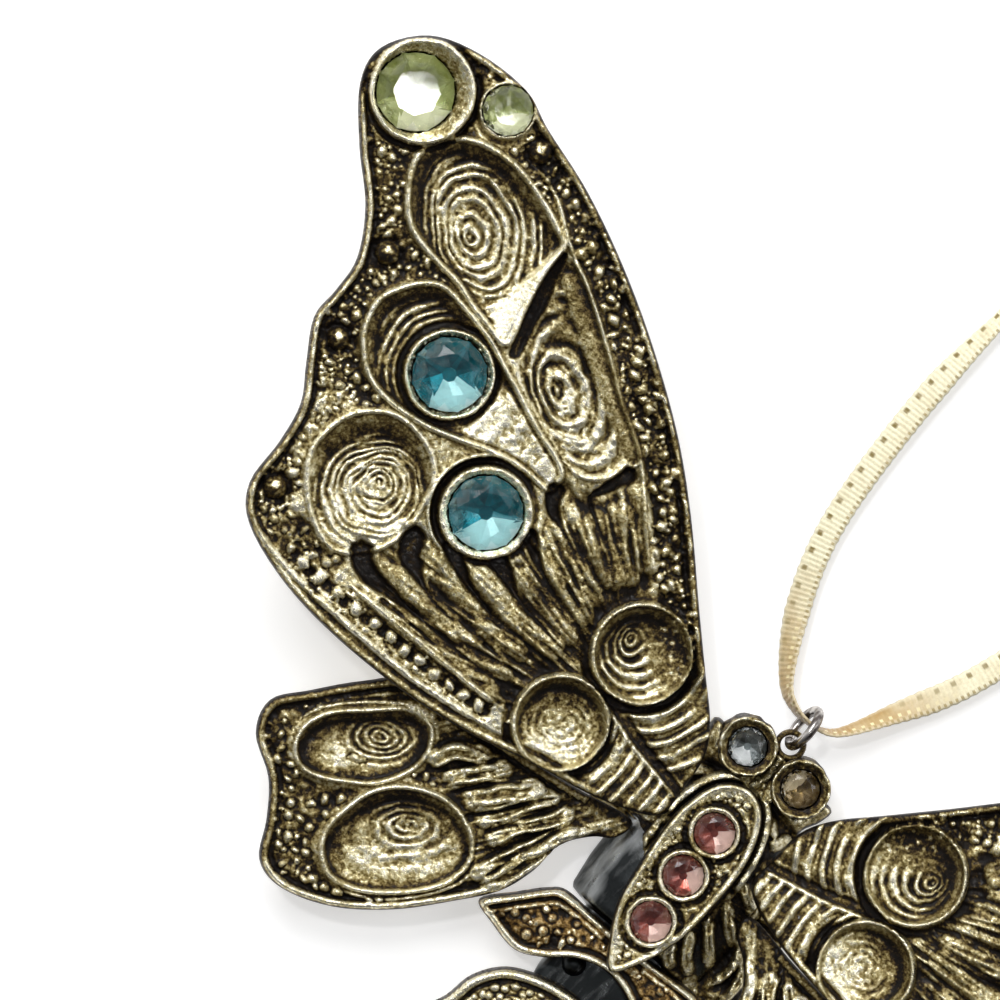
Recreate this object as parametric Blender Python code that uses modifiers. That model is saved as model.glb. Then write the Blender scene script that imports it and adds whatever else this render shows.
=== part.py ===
"""Butterfly hanging ornament: cast metal wings set with rhinestones, on a ring and a ribbon loop.

It lies on its flat back on a table, face up. +Y points to the head, +X to its right wings and +Z
out of its face. The origin is the middle of the thorax on the flat back. Lengths are written in
millimetres and turned into metres where the geometry is made.
"""
import math

import bmesh
import bpy
from mathutils import Matrix, Vector

MM = 0.001

# Clearances between pieces.
SEAT_GAP = 0.3          # between castings that seat on each other
STONE_GAP = 0.12        # round and under a stone in its cup
CUP_WALL = 0.95         # of a wing's stone cups, with the lip

# Backbone casting: a flat-backed half spindle with a narrow spine for the tail.
BODY_HEIGHT = 4.0
BODY_FRONT = 5.9        # its blunt end behind the head
BODY_BACK = -9.0        # where the spindle gives way to the spine
BODY_WIDTHS = [(5.9, 4.5), (3.0, 6.4), (0.0, 6.9), (-3.0, 6.95), (-6.0, 6.9), (-9.0, 6.5)]
SPINE_HALF = 4.6
SPINE_HEIGHT = 1.5
SPINE_SHORT = 3.0       # how far short of the last bell's hem the spine ends

# Head casting: two eye cups and the hanger eye between them.
EYE_CENTRE = (2.72, 8.75)
EYE_CUP_RADIUS = 2.4
EYE_CUP_FLARE = 0.15    # how much wider a cup is at its foot
EYE_CUP_TOP = 5.0
HANGER_Y = 11.0         # centre of the hanger eye's hole
HANGER_Z = 2.25         # its middle height, which lets the ring stand on the table
HANGER_RADIUS = 1.3
HANGER_HOLE = 0.8
HANGER_THICK = 1.0

# Jump ring through the hanger eye.
RING_RADIUS = 1.75      # to the middle of the wire
RING_WIRE = 0.4         # radius of the wire
RING_LEAN = 15.0        # degrees that its plane leans from upright
RING_Y = 12.75          # its centre at rest


# Thorax plaque: a leaf with three stone cups.
PLAQUE_LOW = BODY_HEIGHT + SEAT_GAP
PLAQUE_THICK = 1.1
PLAQUE_OUTLINE = [
    (-0.8, 6.2), (1.2, 5.6), (2.5, 3.6), (3.2, 0.6), (3.2, -3.0), (2.9, -6.2),
    (1.9, -9.4), (0.0, -12.2), (-1.9, -9.8), (-3.1, -7.2), (-3.6, -4.2), (-3.9, -1.0),
    (-3.8, 2.0), (-2.8, 4.9),
]
PLAQUE_STONES = [(-0.5, 1.7), (-0.3, -2.5), (0.0, -7.0)]

# Stone radii.
TIP_STONE = 3.15
SMALL_STONE = 2.0
BLUE_STONE = 3.0
PINK_STONE = 1.65
EYE_STONE = 1.55

# Wings: both are flat plates with relief, tilted up from the body.
PLATE = 1.1             # plate under the relief
RIM = 0.5               # radius of the rounded edge rim
CELL_RIM = 0.6          # half width of the ridged rims round the cells
DISH_DEPTH = 0.55
FOREWING_TILT = 7.0     # degrees that the tip rises
FOREWING_LIFT = 3.0     # height of its back at the body's middle plane
HINDWING_TILT = 5.0
HINDWING_LIFT = 1.7

WING_ROOT = 4.7         # where the wings start, from the body's middle
FOREWING_REACH = 60.9   # its tip from the body's middle
FOREWING_TOP = 38.1     # its leading edge, towards the head
FOREWING_DRAWN = (60.9, 38.1)   # the reach and top that its points below are drawn for
HINDWING_REACH = 35.0
HINDWING_LOW = 23.6     # its hind edge, towards the tail
HINDWING_DRAWN = (35.0, 23.6)

# Left forewing, seen from its face, from the root along the leading edge and back.
FOREWING_OUTLINE = [
    (-5.0, 6.0), (-6.5, 8.5), (-9.2, 11.2), (-13.0, 15.0), (-18.0, 20.1), (-23.0, 24.5),
    (-29.0, 28.7), (-35.0, 32.2), (-41.0, 35.0), (-46.5, 36.8), (-49.8, 38.1), (-54.5, 38.0),
    (-58.5, 36.6), (-60.9, 33.4), (-60.4, 30.2), (-57.3, 26.3), (-54.0, 23.0), (-51.9, 19.4),
    (-51.6, 16.4), (-51.6, 13.6), (-49.8, 10.4), (-48.1, 7.6), (-47.5, 4.2), (-47.3, 0.2),
    (-45.2, -2.4), (-40.0, -4.3), (-34.0, -5.1), (-27.0, -5.1), (-21.0, -4.4), (-15.5, -3.1),
    (-9.5, -2.0), (-4.8, 0.0), (-4.7, 3.0),
]
# Cells in the forewing: outlines of their rims.
TOP_CELL = [
    (-53.2, 28.6), (-52.4, 31.0), (-50.0, 32.8), (-46.8, 33.1), (-43.0, 32.1), (-39.7, 30.5),
    (-39.6, 27.5), (-38.9, 24.5), (-38.6, 22.2), (-42.0, 22.0), (-46.0, 22.8), (-50.2, 23.8),
    (-52.4, 26.0),
]
TEARDROP_CELL = [
    (-38.6, 29.6), (-35.0, 28.7), (-31.0, 26.4), (-27.0, 23.4), (-24.4, 20.8), (-25.2, 18.4),
    (-27.6, 16.9), (-30.6, 18.2), (-34.0, 19.6), (-37.2, 21.2), (-37.8, 24.2), (-38.8, 27.2),
]
COMMA_CELL = [
    (-48.4, 17.2), (-47.4, 19.9), (-45.0, 21.8), (-41.4, 21.2), (-37.6, 19.9), (-34.0, 18.4),
    (-30.4, 16.9), (-28.4, 15.6), (-30.6, 14.9), (-34.4, 14.3), (-38.4, 12.3), (-43.4, 12.2),
    (-47.2, 14.3),
]
ROUND_CELL = (-40.0, 6.2, 5.1, 5.1)              # centre and half sizes
ROOT_CELLS = [(-14.1, 9.5, 4.3, 4.2), (-16.0, 0.8, 3.7, 3.5)]
TIP_STONE_AT = (-56.6, 32.4)
SMALL_STONE_AT = (-50.0, 35.9)
BLUE_STONES_AT = [(-40.4, 16.8), (-31.2, 10.1)]
# Ribs that fan from the cells to the root cells.
FOREWING_RIBS = [
    [(-23.6, 18.8), (-20.2, 15.6), (-17.2, 13.8)],
    [(-26.0, 15.4), (-22.4, 12.9), (-19.1, 10.8)],
    [(-26.0, 11.4), (-22.6, 9.6), (-18.9, 8.0)],
    [(-28.4, 7.2), (-23.6, 6.0), (-18.0, 5.4)],
    [(-33.4, 4.4), (-27.0, 2.9), (-20.2, 2.5)],
    [(-36.0, 1.4), (-28.6, 0.8), (-20.3, 0.2)],
]
STEMS = [((-10.8, 8.0), (-5.9, 4.7)), ((-12.6, 1.0), (-5.7, 1.2))]
STEM_HALF = (3.1, 1.0)  # half width at the cell and at the root
STEM_HEIGHT = 0.85
BAND_RIDGE = [(-38.2, 30.9), (-33.0, 28.2), (-28.0, 24.9), (-23.6, 21.2), (-19.4, 17.1), (-15.6, 13.9)]
# Bead rows: points of each row, the distance between beads and the bead's radius.
FOREWING_BEADS = [
    ([(-42.6, 34.2), (-38.4, 32.4), (-31.6, 28.8), (-25.0, 24.7), (-19.4, 19.4)], 7.6, 0.7),
    ([(-40.8, -2.2), (-36.0, -2.6), (-28.0, -2.7), (-20.6, -2.3)], 6.6, 0.65),
    ([(-56.2, 27.3), (-53.6, 24.5)], 2.6, 0.6),
    ([(-47.5, 9.6), (-46.3, 5.4)], 4.4, 0.6),
]
FOREWING_STUDS = [(-50.3, 21.0), (-49.3, 13.6), (-45.2, 1.1), (-46.2, 34.9)]
STUD = 0.85

# Left hindwing.
HINDWING_OUTLINE = [
    (-6.3, -1.7), (-12.0, -2.6), (-20.0, -3.4), (-27.0, -4.0), (-30.2, -6.6), (-33.0, -9.8),
    (-35.0, -12.4), (-34.2, -15.2), (-31.2, -17.3), (-29.2, -20.0), (-27.6, -22.9), (-24.8, -23.6),
    (-20.6, -22.2), (-16.6, -19.3), (-13.4, -15.9), (-10.9, -12.8), (-9.8, -9.8), (-9.5, -7.0),
    (-7.9, -4.8), (-6.3, -3.6),
]
HINDWING_CELLS = [(-26.7, -10.7, 5.0, 3.3, 44.0), (-19.3, -14.8, 5.5, 4.0, 40.0)]
HINDWING_RIBS = [
    [(-20.6, -8.6), (-19.2, -6.7), (-17.6, -5.6)],
    [(-18.4, -9.0), (-16.4, -6.9), (-14.8, -5.2)],
    [(-15.2, -9.8), (-13.4, -7.2), (-11.6, -4.6)],
    [(-13.0, -12.6), (-11.4, -9.2), (-8.8, -4.6)],
]
HINDWING_BEADS = [
    ([(-32.6, -12.4), (-32.4, -14.6)], 2.2, 0.55),
    ([(-29.0, -17.6), (-26.6, -20.2), (-24.6, -21.6)], 2.4, 0.55),
]
# Where the forewing lies over the hindwing, the hindwing has no relief.
HINDWING_CLEAR_OF_RELIEF = [
    (-5.0, 0.0), (-5.0, -2.6), (-9.5, -3.0), (-15.5, -4.1), (-21.0, -5.4), (-27.0, -6.1),
    (-34.0, -6.1), (-34.0, 0.0),
]

# Tail: a flared collar and three smaller bells behind it.
TAIL_LOW = SPINE_HEIGHT + SEAT_GAP
TAIL_HEIGHT = 2.3       # crown above its underside
COLLAR_HALF = [
    (0.0, -9.6), (4.0, -9.5), (6.7, -9.4), (8.0, -10.2), (9.6, -11.9), (11.7, -14.4),
    (9.6, -15.3), (6.9, -15.8), (4.7, -14.8), (2.6, -13.2), (0.0, -12.5),
]
BELL_LENGTH = 10.3      # of a bell at full size
BELL_REACH = 9.9        # its half width
BELL_DRAWN = (9.9, 10.3)
BELL_HALF = [
    (0.0, 0.0), (3.4, -0.4), (6.5, -1.7), (8.3, -4.0), (8.9, -6.6), (9.9, -9.2),
    (7.6, -9.9), (5.6, -10.3), (3.4, -9.3), (1.6, -8.3), (0.0, -8.0),
]
BELL_SIZES = (1.0, 0.78, 0.6)
TAIL_TOP = -15.5        # top of the first bell
BELL_PITCH = 9.8        # from it to the next, at full size
BELL_BEAD = 0.45

# Ribbon: a flat satin strip through the ring, knotted at the far end.
RIBBON_WIDTH = 2.2
RIBBON_THICK = 0.5
RIBBON_LEFT = [
    (0.35, 13.3, 2.3), (-1.5, 13.5, 2.2), (-3.6, 15.0, 1.5), (-6.3, 19.8, 0.9), (-8.3, 26.0, 0.8),
    (-9.0, 34.0, 0.8), (-8.8, 44.0, 0.8), (-7.1, 56.0, 0.8), (-3.5, 68.0, 0.8), (1.6, 78.2, 0.9),
    (8.2, 88.5, 1.7),
]
RIBBON_RIGHT = [
    (0.85, 13.3, 2.3), (2.5, 14.3, 1.8), (5.0, 18.2, 1.0), (8.2, 24.0, 0.8), (11.5, 33.8, 0.8),
    (14.1, 44.5, 0.8), (15.5, 57.0, 0.8), (15.0, 69.0, 0.8), (13.6, 79.5, 0.9), (11.4, 88.9, 1.7),
]
RIBBON_TILTS = (85.0, 16.0, 16.0, 80.0)   # degrees the strip stands from flat: ring, left, right, knot
RIBBON_PINCH = 0.7      # its width inside the ring, of the full width
KNOT_AT = (9.9, 91.0, 2.0)
KNOT_RADIUS = 1.9
TAIL_ENDS = [(6.6, 98.6), (12.4, 98.8)]   # cut ends of the ribbon past the knot


def clear_scene():
    for obj in list(bpy.data.objects):
        bpy.data.objects.remove(obj, do_unlink=True)


def new_collection(name, hidden=False):
    collection = bpy.data.collections.new(name)
    bpy.context.scene.collection.children.link(collection)
    collection.hide_render = hidden
    return collection


def new_material(name, colour, roughness, metallic):
    material = bpy.data.materials.new(name)
    material.use_nodes = True
    shader = material.node_tree.nodes["Principled BSDF"]
    shader.inputs["Base Color"].default_value = (*colour, 1.0)
    shader.inputs["Roughness"].default_value = roughness
    shader.inputs["Metallic"].default_value = metallic
    material.diffuse_color = (*colour, 1.0)
    return material


def smooth(points, per_span, closed=True, least_turn=0.0):
    """Points along the Catmull-Rom curve through the given ones, without those that turn it less
    than least_turn degrees."""
    points = [Vector(p) for p in points]
    count = len(points)
    spans = count if closed else count - 1
    made = []
    for i in range(spans):
        if closed:
            a, b, c, d = (points[(i + k - 1) % count] for k in range(4))
        else:
            a, b, c, d = (points[min(max(i + k - 1, 0), count - 1)] for k in range(4))
        for step in range(per_span):
            t = step / per_span
            made.append(
                0.5 * (2 * b + (c - a) * t + (2 * a - 5 * b + 4 * c - d) * t * t
                       + (3 * b - a - 3 * c + d) * t ** 3)
            )
    if not closed:
        made.append(points[-1])
    if least_turn:
        kept = [made[0]]
        for here, after in zip(made[1:], made[2:] + made[:1]):
            if (here - kept[-1]).angle(after - here) > math.radians(least_turn):
                kept.append(here)
        made = kept
    return made


def ellipse(x, y, half_x, half_y, angle=0.0, count=14):
    turn = math.radians(angle)
    made = []
    for i in range(count):
        a = 2 * math.pi * i / count
        u, v = half_x * math.cos(a), half_y * math.sin(a)
        made.append(Vector((x + u * math.cos(turn) - v * math.sin(turn),
                            y + u * math.sin(turn) + v * math.cos(turn))))
    return made


def area_of(points):
    return sum(a.x * b.y - b.x * a.y for a, b in zip(points, points[1:] + points[:1])) / 2


def inset(points, distance):
    """The closed outline moved inwards by distance, along the normal at each point."""
    side = 1 if area_of(points) > 0 else -1
    made = []
    for before, here, after in zip(points[-1:] + points[:-1], points, points[1:] + points[:1]):
        along = (after - before).normalized()
        made.append(here + side * distance * Vector((-along.y, along.x)))
    return made


def mirrored(half):
    """A closed outline from its right half, which starts and ends on the middle line."""
    left = [(-x, y) for x, y in reversed(half[1:-1])]
    return [Vector(p) for p in half] + [Vector(p) for p in left]


def add_object(name, mesh, collection):
    obj = bpy.data.objects.new(name, mesh)
    collection.objects.link(obj)
    return obj


def as_mesh(obj, collection):
    """The evaluated mesh of an object as a new mesh object with welded points. The old one goes."""
    bpy.context.view_layer.update()
    graph = bpy.context.evaluated_depsgraph_get()
    mesh = bpy.data.meshes.new_from_object(obj.evaluated_get(graph))
    mesh.transform(obj.matrix_world)
    shape = bmesh.new()
    shape.from_mesh(mesh)
    bmesh.ops.remove_doubles(shape, verts=shape.verts, dist=0.002 * MM)
    bmesh.ops.recalc_face_normals(shape, faces=shape.faces)
    shape.to_mesh(mesh)
    shape.free()
    name = obj.name
    bpy.data.objects.remove(obj, do_unlink=True)
    made = add_object(name, mesh, collection)
    return made


def plate(name, outline, low, high, collection):
    """A flat outline as a filled 2D curve, given its thickness by extrusion."""
    curve = bpy.data.curves.new(name, "CURVE")
    curve.dimensions = "2D"
    curve.fill_mode = "BOTH"
    curve.extrude = (high - low) / 2 * MM
    spline = curve.splines.new("POLY")
    spline.points.add(len(outline) - 1)
    for point, place in zip(spline.points, outline):
        point.co = (place[0] * MM, place[1] * MM, 0.0, 1.0)
    spline.use_cyclic_u = True
    obj = add_object(name, curve, collection)
    obj.location.z = (low + high) / 2 * MM
    return as_mesh(obj, collection)


def cord(name, points, radius, collection, closed=False, sides=1, radii=None):
    """A round tube along points, as a bevelled curve. sides is the curve's bevel resolution."""
    curve = bpy.data.curves.new(name, "CURVE")
    curve.dimensions = "3D"
    curve.bevel_depth = radius * MM
    curve.bevel_resolution = sides
    curve.use_fill_caps = True
    spline = curve.splines.new("POLY")
    spline.points.add(len(points) - 1)
    for i, (point, place) in enumerate(zip(spline.points, points)):
        point.co = (place[0] * MM, place[1] * MM, place[2] * MM, 1.0)
        point.radius = radii[i] if radii else 1.0
    spline.use_cyclic_u = closed
    obj = add_object(name, curve, collection)
    return as_mesh(obj, collection)


def raised(points, height):
    return [(p[0], p[1], height) for p in points]


def ball(name, place, radii, collection, segments=6, rings=4):
    mesh = bpy.data.meshes.new(name)
    shape = bmesh.new()
    bmesh.ops.create_uvsphere(shape, u_segments=segments, v_segments=rings, radius=1.0)
    bmesh.ops.scale(shape, vec=Vector(radii) * MM, verts=shape.verts)
    bmesh.ops.translate(shape, vec=Vector(place) * MM, verts=shape.verts)
    shape.to_mesh(mesh)
    shape.free()
    return add_object(name, mesh, collection)


def frustum(name, place, low, high, radius_low, radius_high, collection, segments=14):
    mesh = bpy.data.meshes.new(name)
    shape = bmesh.new()
    bmesh.ops.create_cone(shape, cap_ends=True, segments=segments, radius1=radius_low * MM,
                          radius2=radius_high * MM, depth=(high - low) * MM)
    bmesh.ops.translate(shape, vec=Vector((place[0], place[1], (low + high) / 2)) * MM,
                        verts=shape.verts)
    shape.to_mesh(mesh)
    shape.free()
    return add_object(name, mesh, collection)


def turned(name, profile, steps, collection):
    """A profile of (radius, height) points, top to bottom, turned round Z by a Screw modifier."""
    mesh = bpy.data.meshes.new(name)
    mesh.from_pydata([(r * MM, 0.0, z * MM) for r, z in profile],
                     [(i, i + 1) for i in range(len(profile) - 1)], [])
    obj = add_object(name, mesh, collection)
    screw = obj.modifiers.new("Turn", "SCREW")
    screw.steps = steps
    screw.render_steps = steps
    screw.use_merge_vertices = True
    screw.merge_threshold = 0.002 * MM
    return as_mesh(obj, collection)


def joined(base, others, operation, collection):
    """base with the others added to it or cut from it by one Boolean. The others go."""
    if not others:
        return base
    tools = bpy.data.collections.new("tools")
    for other in others:
        tools.objects.link(other)
    boolean = base.modifiers.new("Join", "BOOLEAN")
    boolean.operation = operation
    boolean.operand_type = "COLLECTION"
    boolean.collection = tools
    boolean.solver = "EXACT"
    boolean.use_self = True
    made = as_mesh(base, collection)
    for other in others:
        bpy.data.objects.remove(other, do_unlink=True)
    bpy.data.collections.remove(tools)
    return made


def finish(obj, material, name=None, angle=35.0):
    if name:
        obj.name = name
        obj.data.name = name
    obj.data.materials.clear()
    obj.data.materials.append(material)
    obj.data.shade_smooth()
    obj.data.set_sharp_from_angle(angle=math.radians(angle))
    return obj


def mirror_copy(obj, name, collection):
    """The same casting for the other side."""
    mesh = obj.data.copy()
    mesh.transform(Matrix.Scale(-1, 4, (1, 0, 0)))
    mesh.flip_normals()
    made = add_object(name, mesh, collection)
    made.data.name = name
    return made


def frame_empty(name, lift, tilt, collection):
    """The plane a wing lies in: it starts at the body's middle and rises away from it."""
    empty = bpy.data.objects.new(name, None)
    empty.location = (0.0, 0.0, lift * MM)
    empty.rotation_euler = (0.0, math.radians(tilt), 0.0)
    collection.objects.link(empty)
    return empty


def spaced(points, step):
    """Points a step apart along a smooth line through the given ones."""
    line = smooth(points, 8, closed=False)
    lengths = [0.0]
    for a, b in zip(line, line[1:]):
        lengths.append(lengths[-1] + (b - a).length)
    count = max(1, round(lengths[-1] / step))
    made, at = [], 0
    for i in range(count + 1):
        want = lengths[-1] * i / count
        while at < len(line) - 2 and lengths[at + 1] < want:
            at += 1
        share = (want - lengths[at]) / max(lengths[at + 1] - lengths[at], 1e-9)
        made.append(line[at].lerp(line[at + 1], min(share, 1.0)))
    return made


def bead(place, radius, collection):
    mesh = bpy.data.meshes.new("bead")
    shape = bmesh.new()
    bmesh.ops.create_icosphere(shape, subdivisions=1, radius=radius * MM)
    bmesh.ops.translate(shape, vec=Vector(place) * MM, verts=shape.verts)
    shape.to_mesh(mesh)
    shape.free()
    return add_object("bead", mesh, collection)


def bead_row(row, step, radius, height, collection):
    return [bead((p.x, p.y, height), radius, collection) for p in spaced(row, step)]


def stone_cup(place, radius, foot, top, wall, collection):
    """The round cup of a stone before its pocket is cut: a low drum with a rounded lip."""
    profile = [(0.0, top), (radius + 0.4 * wall, top), (radius + wall, top - 0.6 * wall),
               (radius + wall, foot), (0.0, foot)]
    made = turned("cup", profile, 14, collection)
    made.data.transform(Matrix.Translation((place[0] * MM, place[1] * MM, 0.0)))
    return made


def stone_pocket(place, radius, floor, collection):
    return frustum("pocket", place, floor, floor + 3.0, radius + STONE_GAP, radius + STONE_GAP,
                   collection)


def stem(start, end, collection):
    """The ribbed stem between a root cell and the body: a flattened tube whose radius steps."""
    start, end = Vector(start), Vector(end)
    ribs = 4
    points, radii = [], []
    for i in range(2 * ribs + 1):
        share = i / (2 * ribs)
        points.append(start.lerp(end, share))
        half = STEM_HALF[0] + (STEM_HALF[1] - STEM_HALF[0]) * share
        radii.append(half * (1.0 if i % 2 else 0.88))
    made = cord("stem", raised(points, 0.0), 1.0, collection, radii=radii)
    made.data.transform(Matrix.Diagonal((1, 1, STEM_HEIGHT / STEM_HALF[0], 1)))
    made.data.transform(Matrix.Translation((0, 0, PLATE * MM)))
    return made


STONE_SEAT = PLATE - 0.35      # floor of the stone pockets in the wings


def fitted(place, reach, top, drawn):
    """A point of a wing's tables moved to the wing's real reach and top; the root stays."""
    out = (reach - WING_ROOT) / (drawn[0] - WING_ROOT)
    return (-WING_ROOT + (place[0] + WING_ROOT) * out, place[1] * top / drawn[1])


def on_forewing(points):
    return [fitted(place, FOREWING_REACH, FOREWING_TOP, FOREWING_DRAWN) for place in points]


def on_hindwing(points):
    return [fitted(place, HINDWING_REACH, HINDWING_LOW, HINDWING_DRAWN) for place in points]


def make_forewing(collection):
    outline = smooth(on_forewing(FOREWING_OUTLINE), 2, least_turn=8.0)
    wing = plate("forewing_left", outline, 0.0, PLATE, collection)
    adds = [cord("rim", raised(inset(outline, 0.6 * RIM), PLATE - 0.06), RIM, collection, closed=True)]
    pockets = []
    for points in (TOP_CELL, TEARDROP_CELL, COMMA_CELL):
        rim = smooth(on_forewing(points), 2, least_turn=15.0)
        adds.append(cord("cell", raised(rim, PLATE + 0.08), CELL_RIM, collection, closed=True, sides=0))
        pockets.append(plate("dish", inset(rim, 0.2), PLATE - DISH_DEPTH, PLATE + 2.0, collection))
    for x, y, half_x, half_y in [ROUND_CELL] + ROOT_CELLS:
        x, y = on_forewing([(x, y)])[0]
        rim = ellipse(x, y, half_x, half_y)
        adds.append(cord("cell", raised(rim, PLATE + 0.08), CELL_RIM, collection, closed=True, sides=0))
        pockets.append(ball("dish", (x, y, PLATE + 0.5), (half_x, half_y, 0.5 + DISH_DEPTH),
                            collection, segments=12, rings=6))
    for rib in FOREWING_RIBS:
        adds.append(cord("rib", raised(on_forewing(rib), PLATE + 0.07), 0.85, collection, sides=0,
                         radii=[0.8, 1.1, 0.8]))
    adds.append(cord("ridge", raised(on_forewing(BAND_RIDGE), PLATE + 0.05), 0.6, collection, sides=0))
    adds += [stem(*on_forewing(ends), collection) for ends in STEMS]
    for row, step, radius in FOREWING_BEADS:
        adds += bead_row(on_forewing(row), step, radius, PLATE + 0.09, collection)
    adds += [bead((x, y, PLATE + 0.11), STUD, collection)
             for x, y in on_forewing(FOREWING_STUDS)]
    wing = joined(wing, pockets, "DIFFERENCE", collection)
    places = on_forewing([TIP_STONE_AT, SMALL_STONE_AT, *BLUE_STONES_AT])
    stones = list(zip(places, (TIP_STONE, SMALL_STONE, BLUE_STONE, BLUE_STONE)))
    adds += [stone_cup(place, radius, 0.2, PLATE + 0.65, CUP_WALL, collection)
             for place, radius in stones]
    wing = joined(wing, adds, "UNION", collection)
    cuts = [stone_pocket(place, radius, STONE_SEAT, collection) for place, radius in stones]
    wing = joined(wing, cuts, "DIFFERENCE", collection)
    return wing


def make_hindwing(collection):
    outline = smooth(on_hindwing(HINDWING_OUTLINE), 2, least_turn=9.0)
    wing = plate("hindwing_left", outline, 0.0, PLATE - 0.15, collection)
    adds = [cord("rim", raised(inset(outline, 0.6 * RIM), PLATE - 0.23), RIM, collection, closed=True)]
    pockets = []
    for x, y, half_x, half_y, angle in HINDWING_CELLS:
        x, y = on_hindwing([(x, y)])[0]
        rim = ellipse(x, y, half_x, half_y, angle)
        adds.append(cord("cell", raised(rim, PLATE - 0.04), CELL_RIM, collection, closed=True, sides=0))
        dish = ball("dish", (0, 0, 0), (half_x, half_y, 0.5 + DISH_DEPTH), collection,
                    segments=12, rings=6)
        dish.data.transform(Matrix.Translation((x * MM, y * MM, (PLATE + 0.4) * MM))
                            @ Matrix.Rotation(math.radians(angle), 4, "Z"))
        pockets.append(dish)
    for rib in HINDWING_RIBS:
        adds.append(cord("rib", raised(on_hindwing(rib), PLATE - 0.11), 0.75, collection, sides=0,
                         radii=[0.8, 1.1, 0.8]))
    for row, step, radius in HINDWING_BEADS:
        adds += bead_row(on_hindwing(row), step, radius, PLATE - 0.1, collection)
    wing = joined(wing, pockets, "DIFFERENCE", collection)
    wing = joined(wing, adds, "UNION", collection)
    clear = plate("clear", HINDWING_CLEAR_OF_RELIEF, PLATE - 0.15, PLATE + 3.0, collection)
    return joined(wing, [clear], "DIFFERENCE", collection)


def stone(name, place, radius, material, collection, frame=None, lift=0.0):
    """A flat-backed faceted stone: a girdle, a ring of crown facets and a table."""
    height = 0.46 * radius + 0.35
    profile = [(0.0, height), (0.58 * radius, height - 0.04), (radius, 0.42), (radius, 0.0), (0.0, 0.0)]
    made = turned(name, profile, 12, collection)
    made.location = (place[0] * MM, place[1] * MM, (lift + STONE_GAP) * MM)
    if frame:
        made.parent = frame
    finish(made, material, angle=5.0)
    return made


def bell_tops():
    """Each bell's top: it starts a pitch behind the one before."""
    tops = [TAIL_TOP]
    for size in BELL_SIZES[:-1]:
        tops.append(tops[-1] - BELL_PITCH * size)
    return tops


def make_body(collection):
    """Half of a flattened spindle on its flat back, with the spine that carries the tail."""
    profile = [(0.0, BODY_FRONT)]
    profile += [(half, y) for y, half in BODY_WIDTHS]
    profile += [(0.0, BODY_BACK)]
    spindle = turned("body_core", profile, 24, collection)
    widest = max(half for _, half in BODY_WIDTHS)
    spindle.data.transform(Matrix.Rotation(math.radians(-90), 4, "X"))
    spindle.data.transform(Matrix.Diagonal((1, 1, BODY_HEIGHT / widest, 1)))
    second, last = bell_tops()[1], bell_tops()[-1]
    end = last - BELL_LENGTH * BELL_SIZES[-1] + SPINE_SHORT
    spine_outline = [
        (SPINE_HALF, BODY_BACK + 1.0), (SPINE_HALF, TAIL_TOP), (0.6 * SPINE_HALF, second),
        (0.3 * SPINE_HALF, end), (-0.3 * SPINE_HALF, end),
        (-0.6 * SPINE_HALF, second), (-SPINE_HALF, TAIL_TOP), (-SPINE_HALF, BODY_BACK + 1.0),
    ]
    spine = plate("spine", spine_outline, -1.0, SPINE_HEIGHT, collection)
    body = joined(spindle, [spine], "UNION", collection)
    below = plate("below", [(-20, -50), (20, -50), (20, 20), (-20, 20)], -12.0, 0.0, collection)
    return joined(body, [below], "DIFFERENCE", collection)


def make_head(collection):
    foot = EYE_CUP_RADIUS + EYE_CUP_FLARE
    cups = [frustum("head", (side * EYE_CENTRE[0], EYE_CENTRE[1]), 0.0, EYE_CUP_TOP, foot,
                    EYE_CUP_RADIUS, collection, segments=16) for side in (-1, 1)]
    bridge = plate("bridge", [(-1.8, 6.2), (1.8, 6.2), (1.3, 9.4), (0.7, 9.9), (-0.7, 9.9), (-1.3, 9.4)],
                   0.0, 3.2, collection)
    low, high = HANGER_Z - HANGER_THICK / 2, HANGER_Z + HANGER_THICK / 2
    eye = frustum("eye", (0.0, HANGER_Y), low, high, HANGER_RADIUS, HANGER_RADIUS, collection)
    head = joined(cups[0], [cups[1], bridge, eye], "UNION", collection)
    cuts = [frustum("hole", (0.0, HANGER_Y), low - 6.0, high + 3.0, HANGER_HOLE, HANGER_HOLE, collection)]
    for side in (-1, 1):
        cuts.append(frustum("pocket", (side * EYE_CENTRE[0], EYE_CENTRE[1]), EYE_CUP_TOP - 1.3,
                            EYE_CUP_TOP + 0.5, EYE_STONE + STONE_GAP, EYE_STONE + STONE_GAP + 0.5,
                            collection, segments=16))
    return joined(head, cuts, "DIFFERENCE", collection)


def make_plaque(collection):
    outline = smooth(PLAQUE_OUTLINE, 2, least_turn=10.0)
    top = PLAQUE_LOW + PLAQUE_THICK
    body = plate("thorax_plaque", outline, PLAQUE_LOW, top, collection)
    adds = [cord("rim", raised(inset(outline, 0.3), top - 0.05), 0.42, collection, closed=True)]
    adds += [stone_cup(place, PINK_STONE, PLAQUE_LOW + 0.3, top + 0.45, 0.7, collection)
             for place in PLAQUE_STONES]
    body = joined(body, adds, "UNION", collection)
    cuts = [stone_pocket(place, PINK_STONE, top - 0.5, collection) for place in PLAQUE_STONES]
    return joined(body, cuts, "DIFFERENCE", collection)


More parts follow.
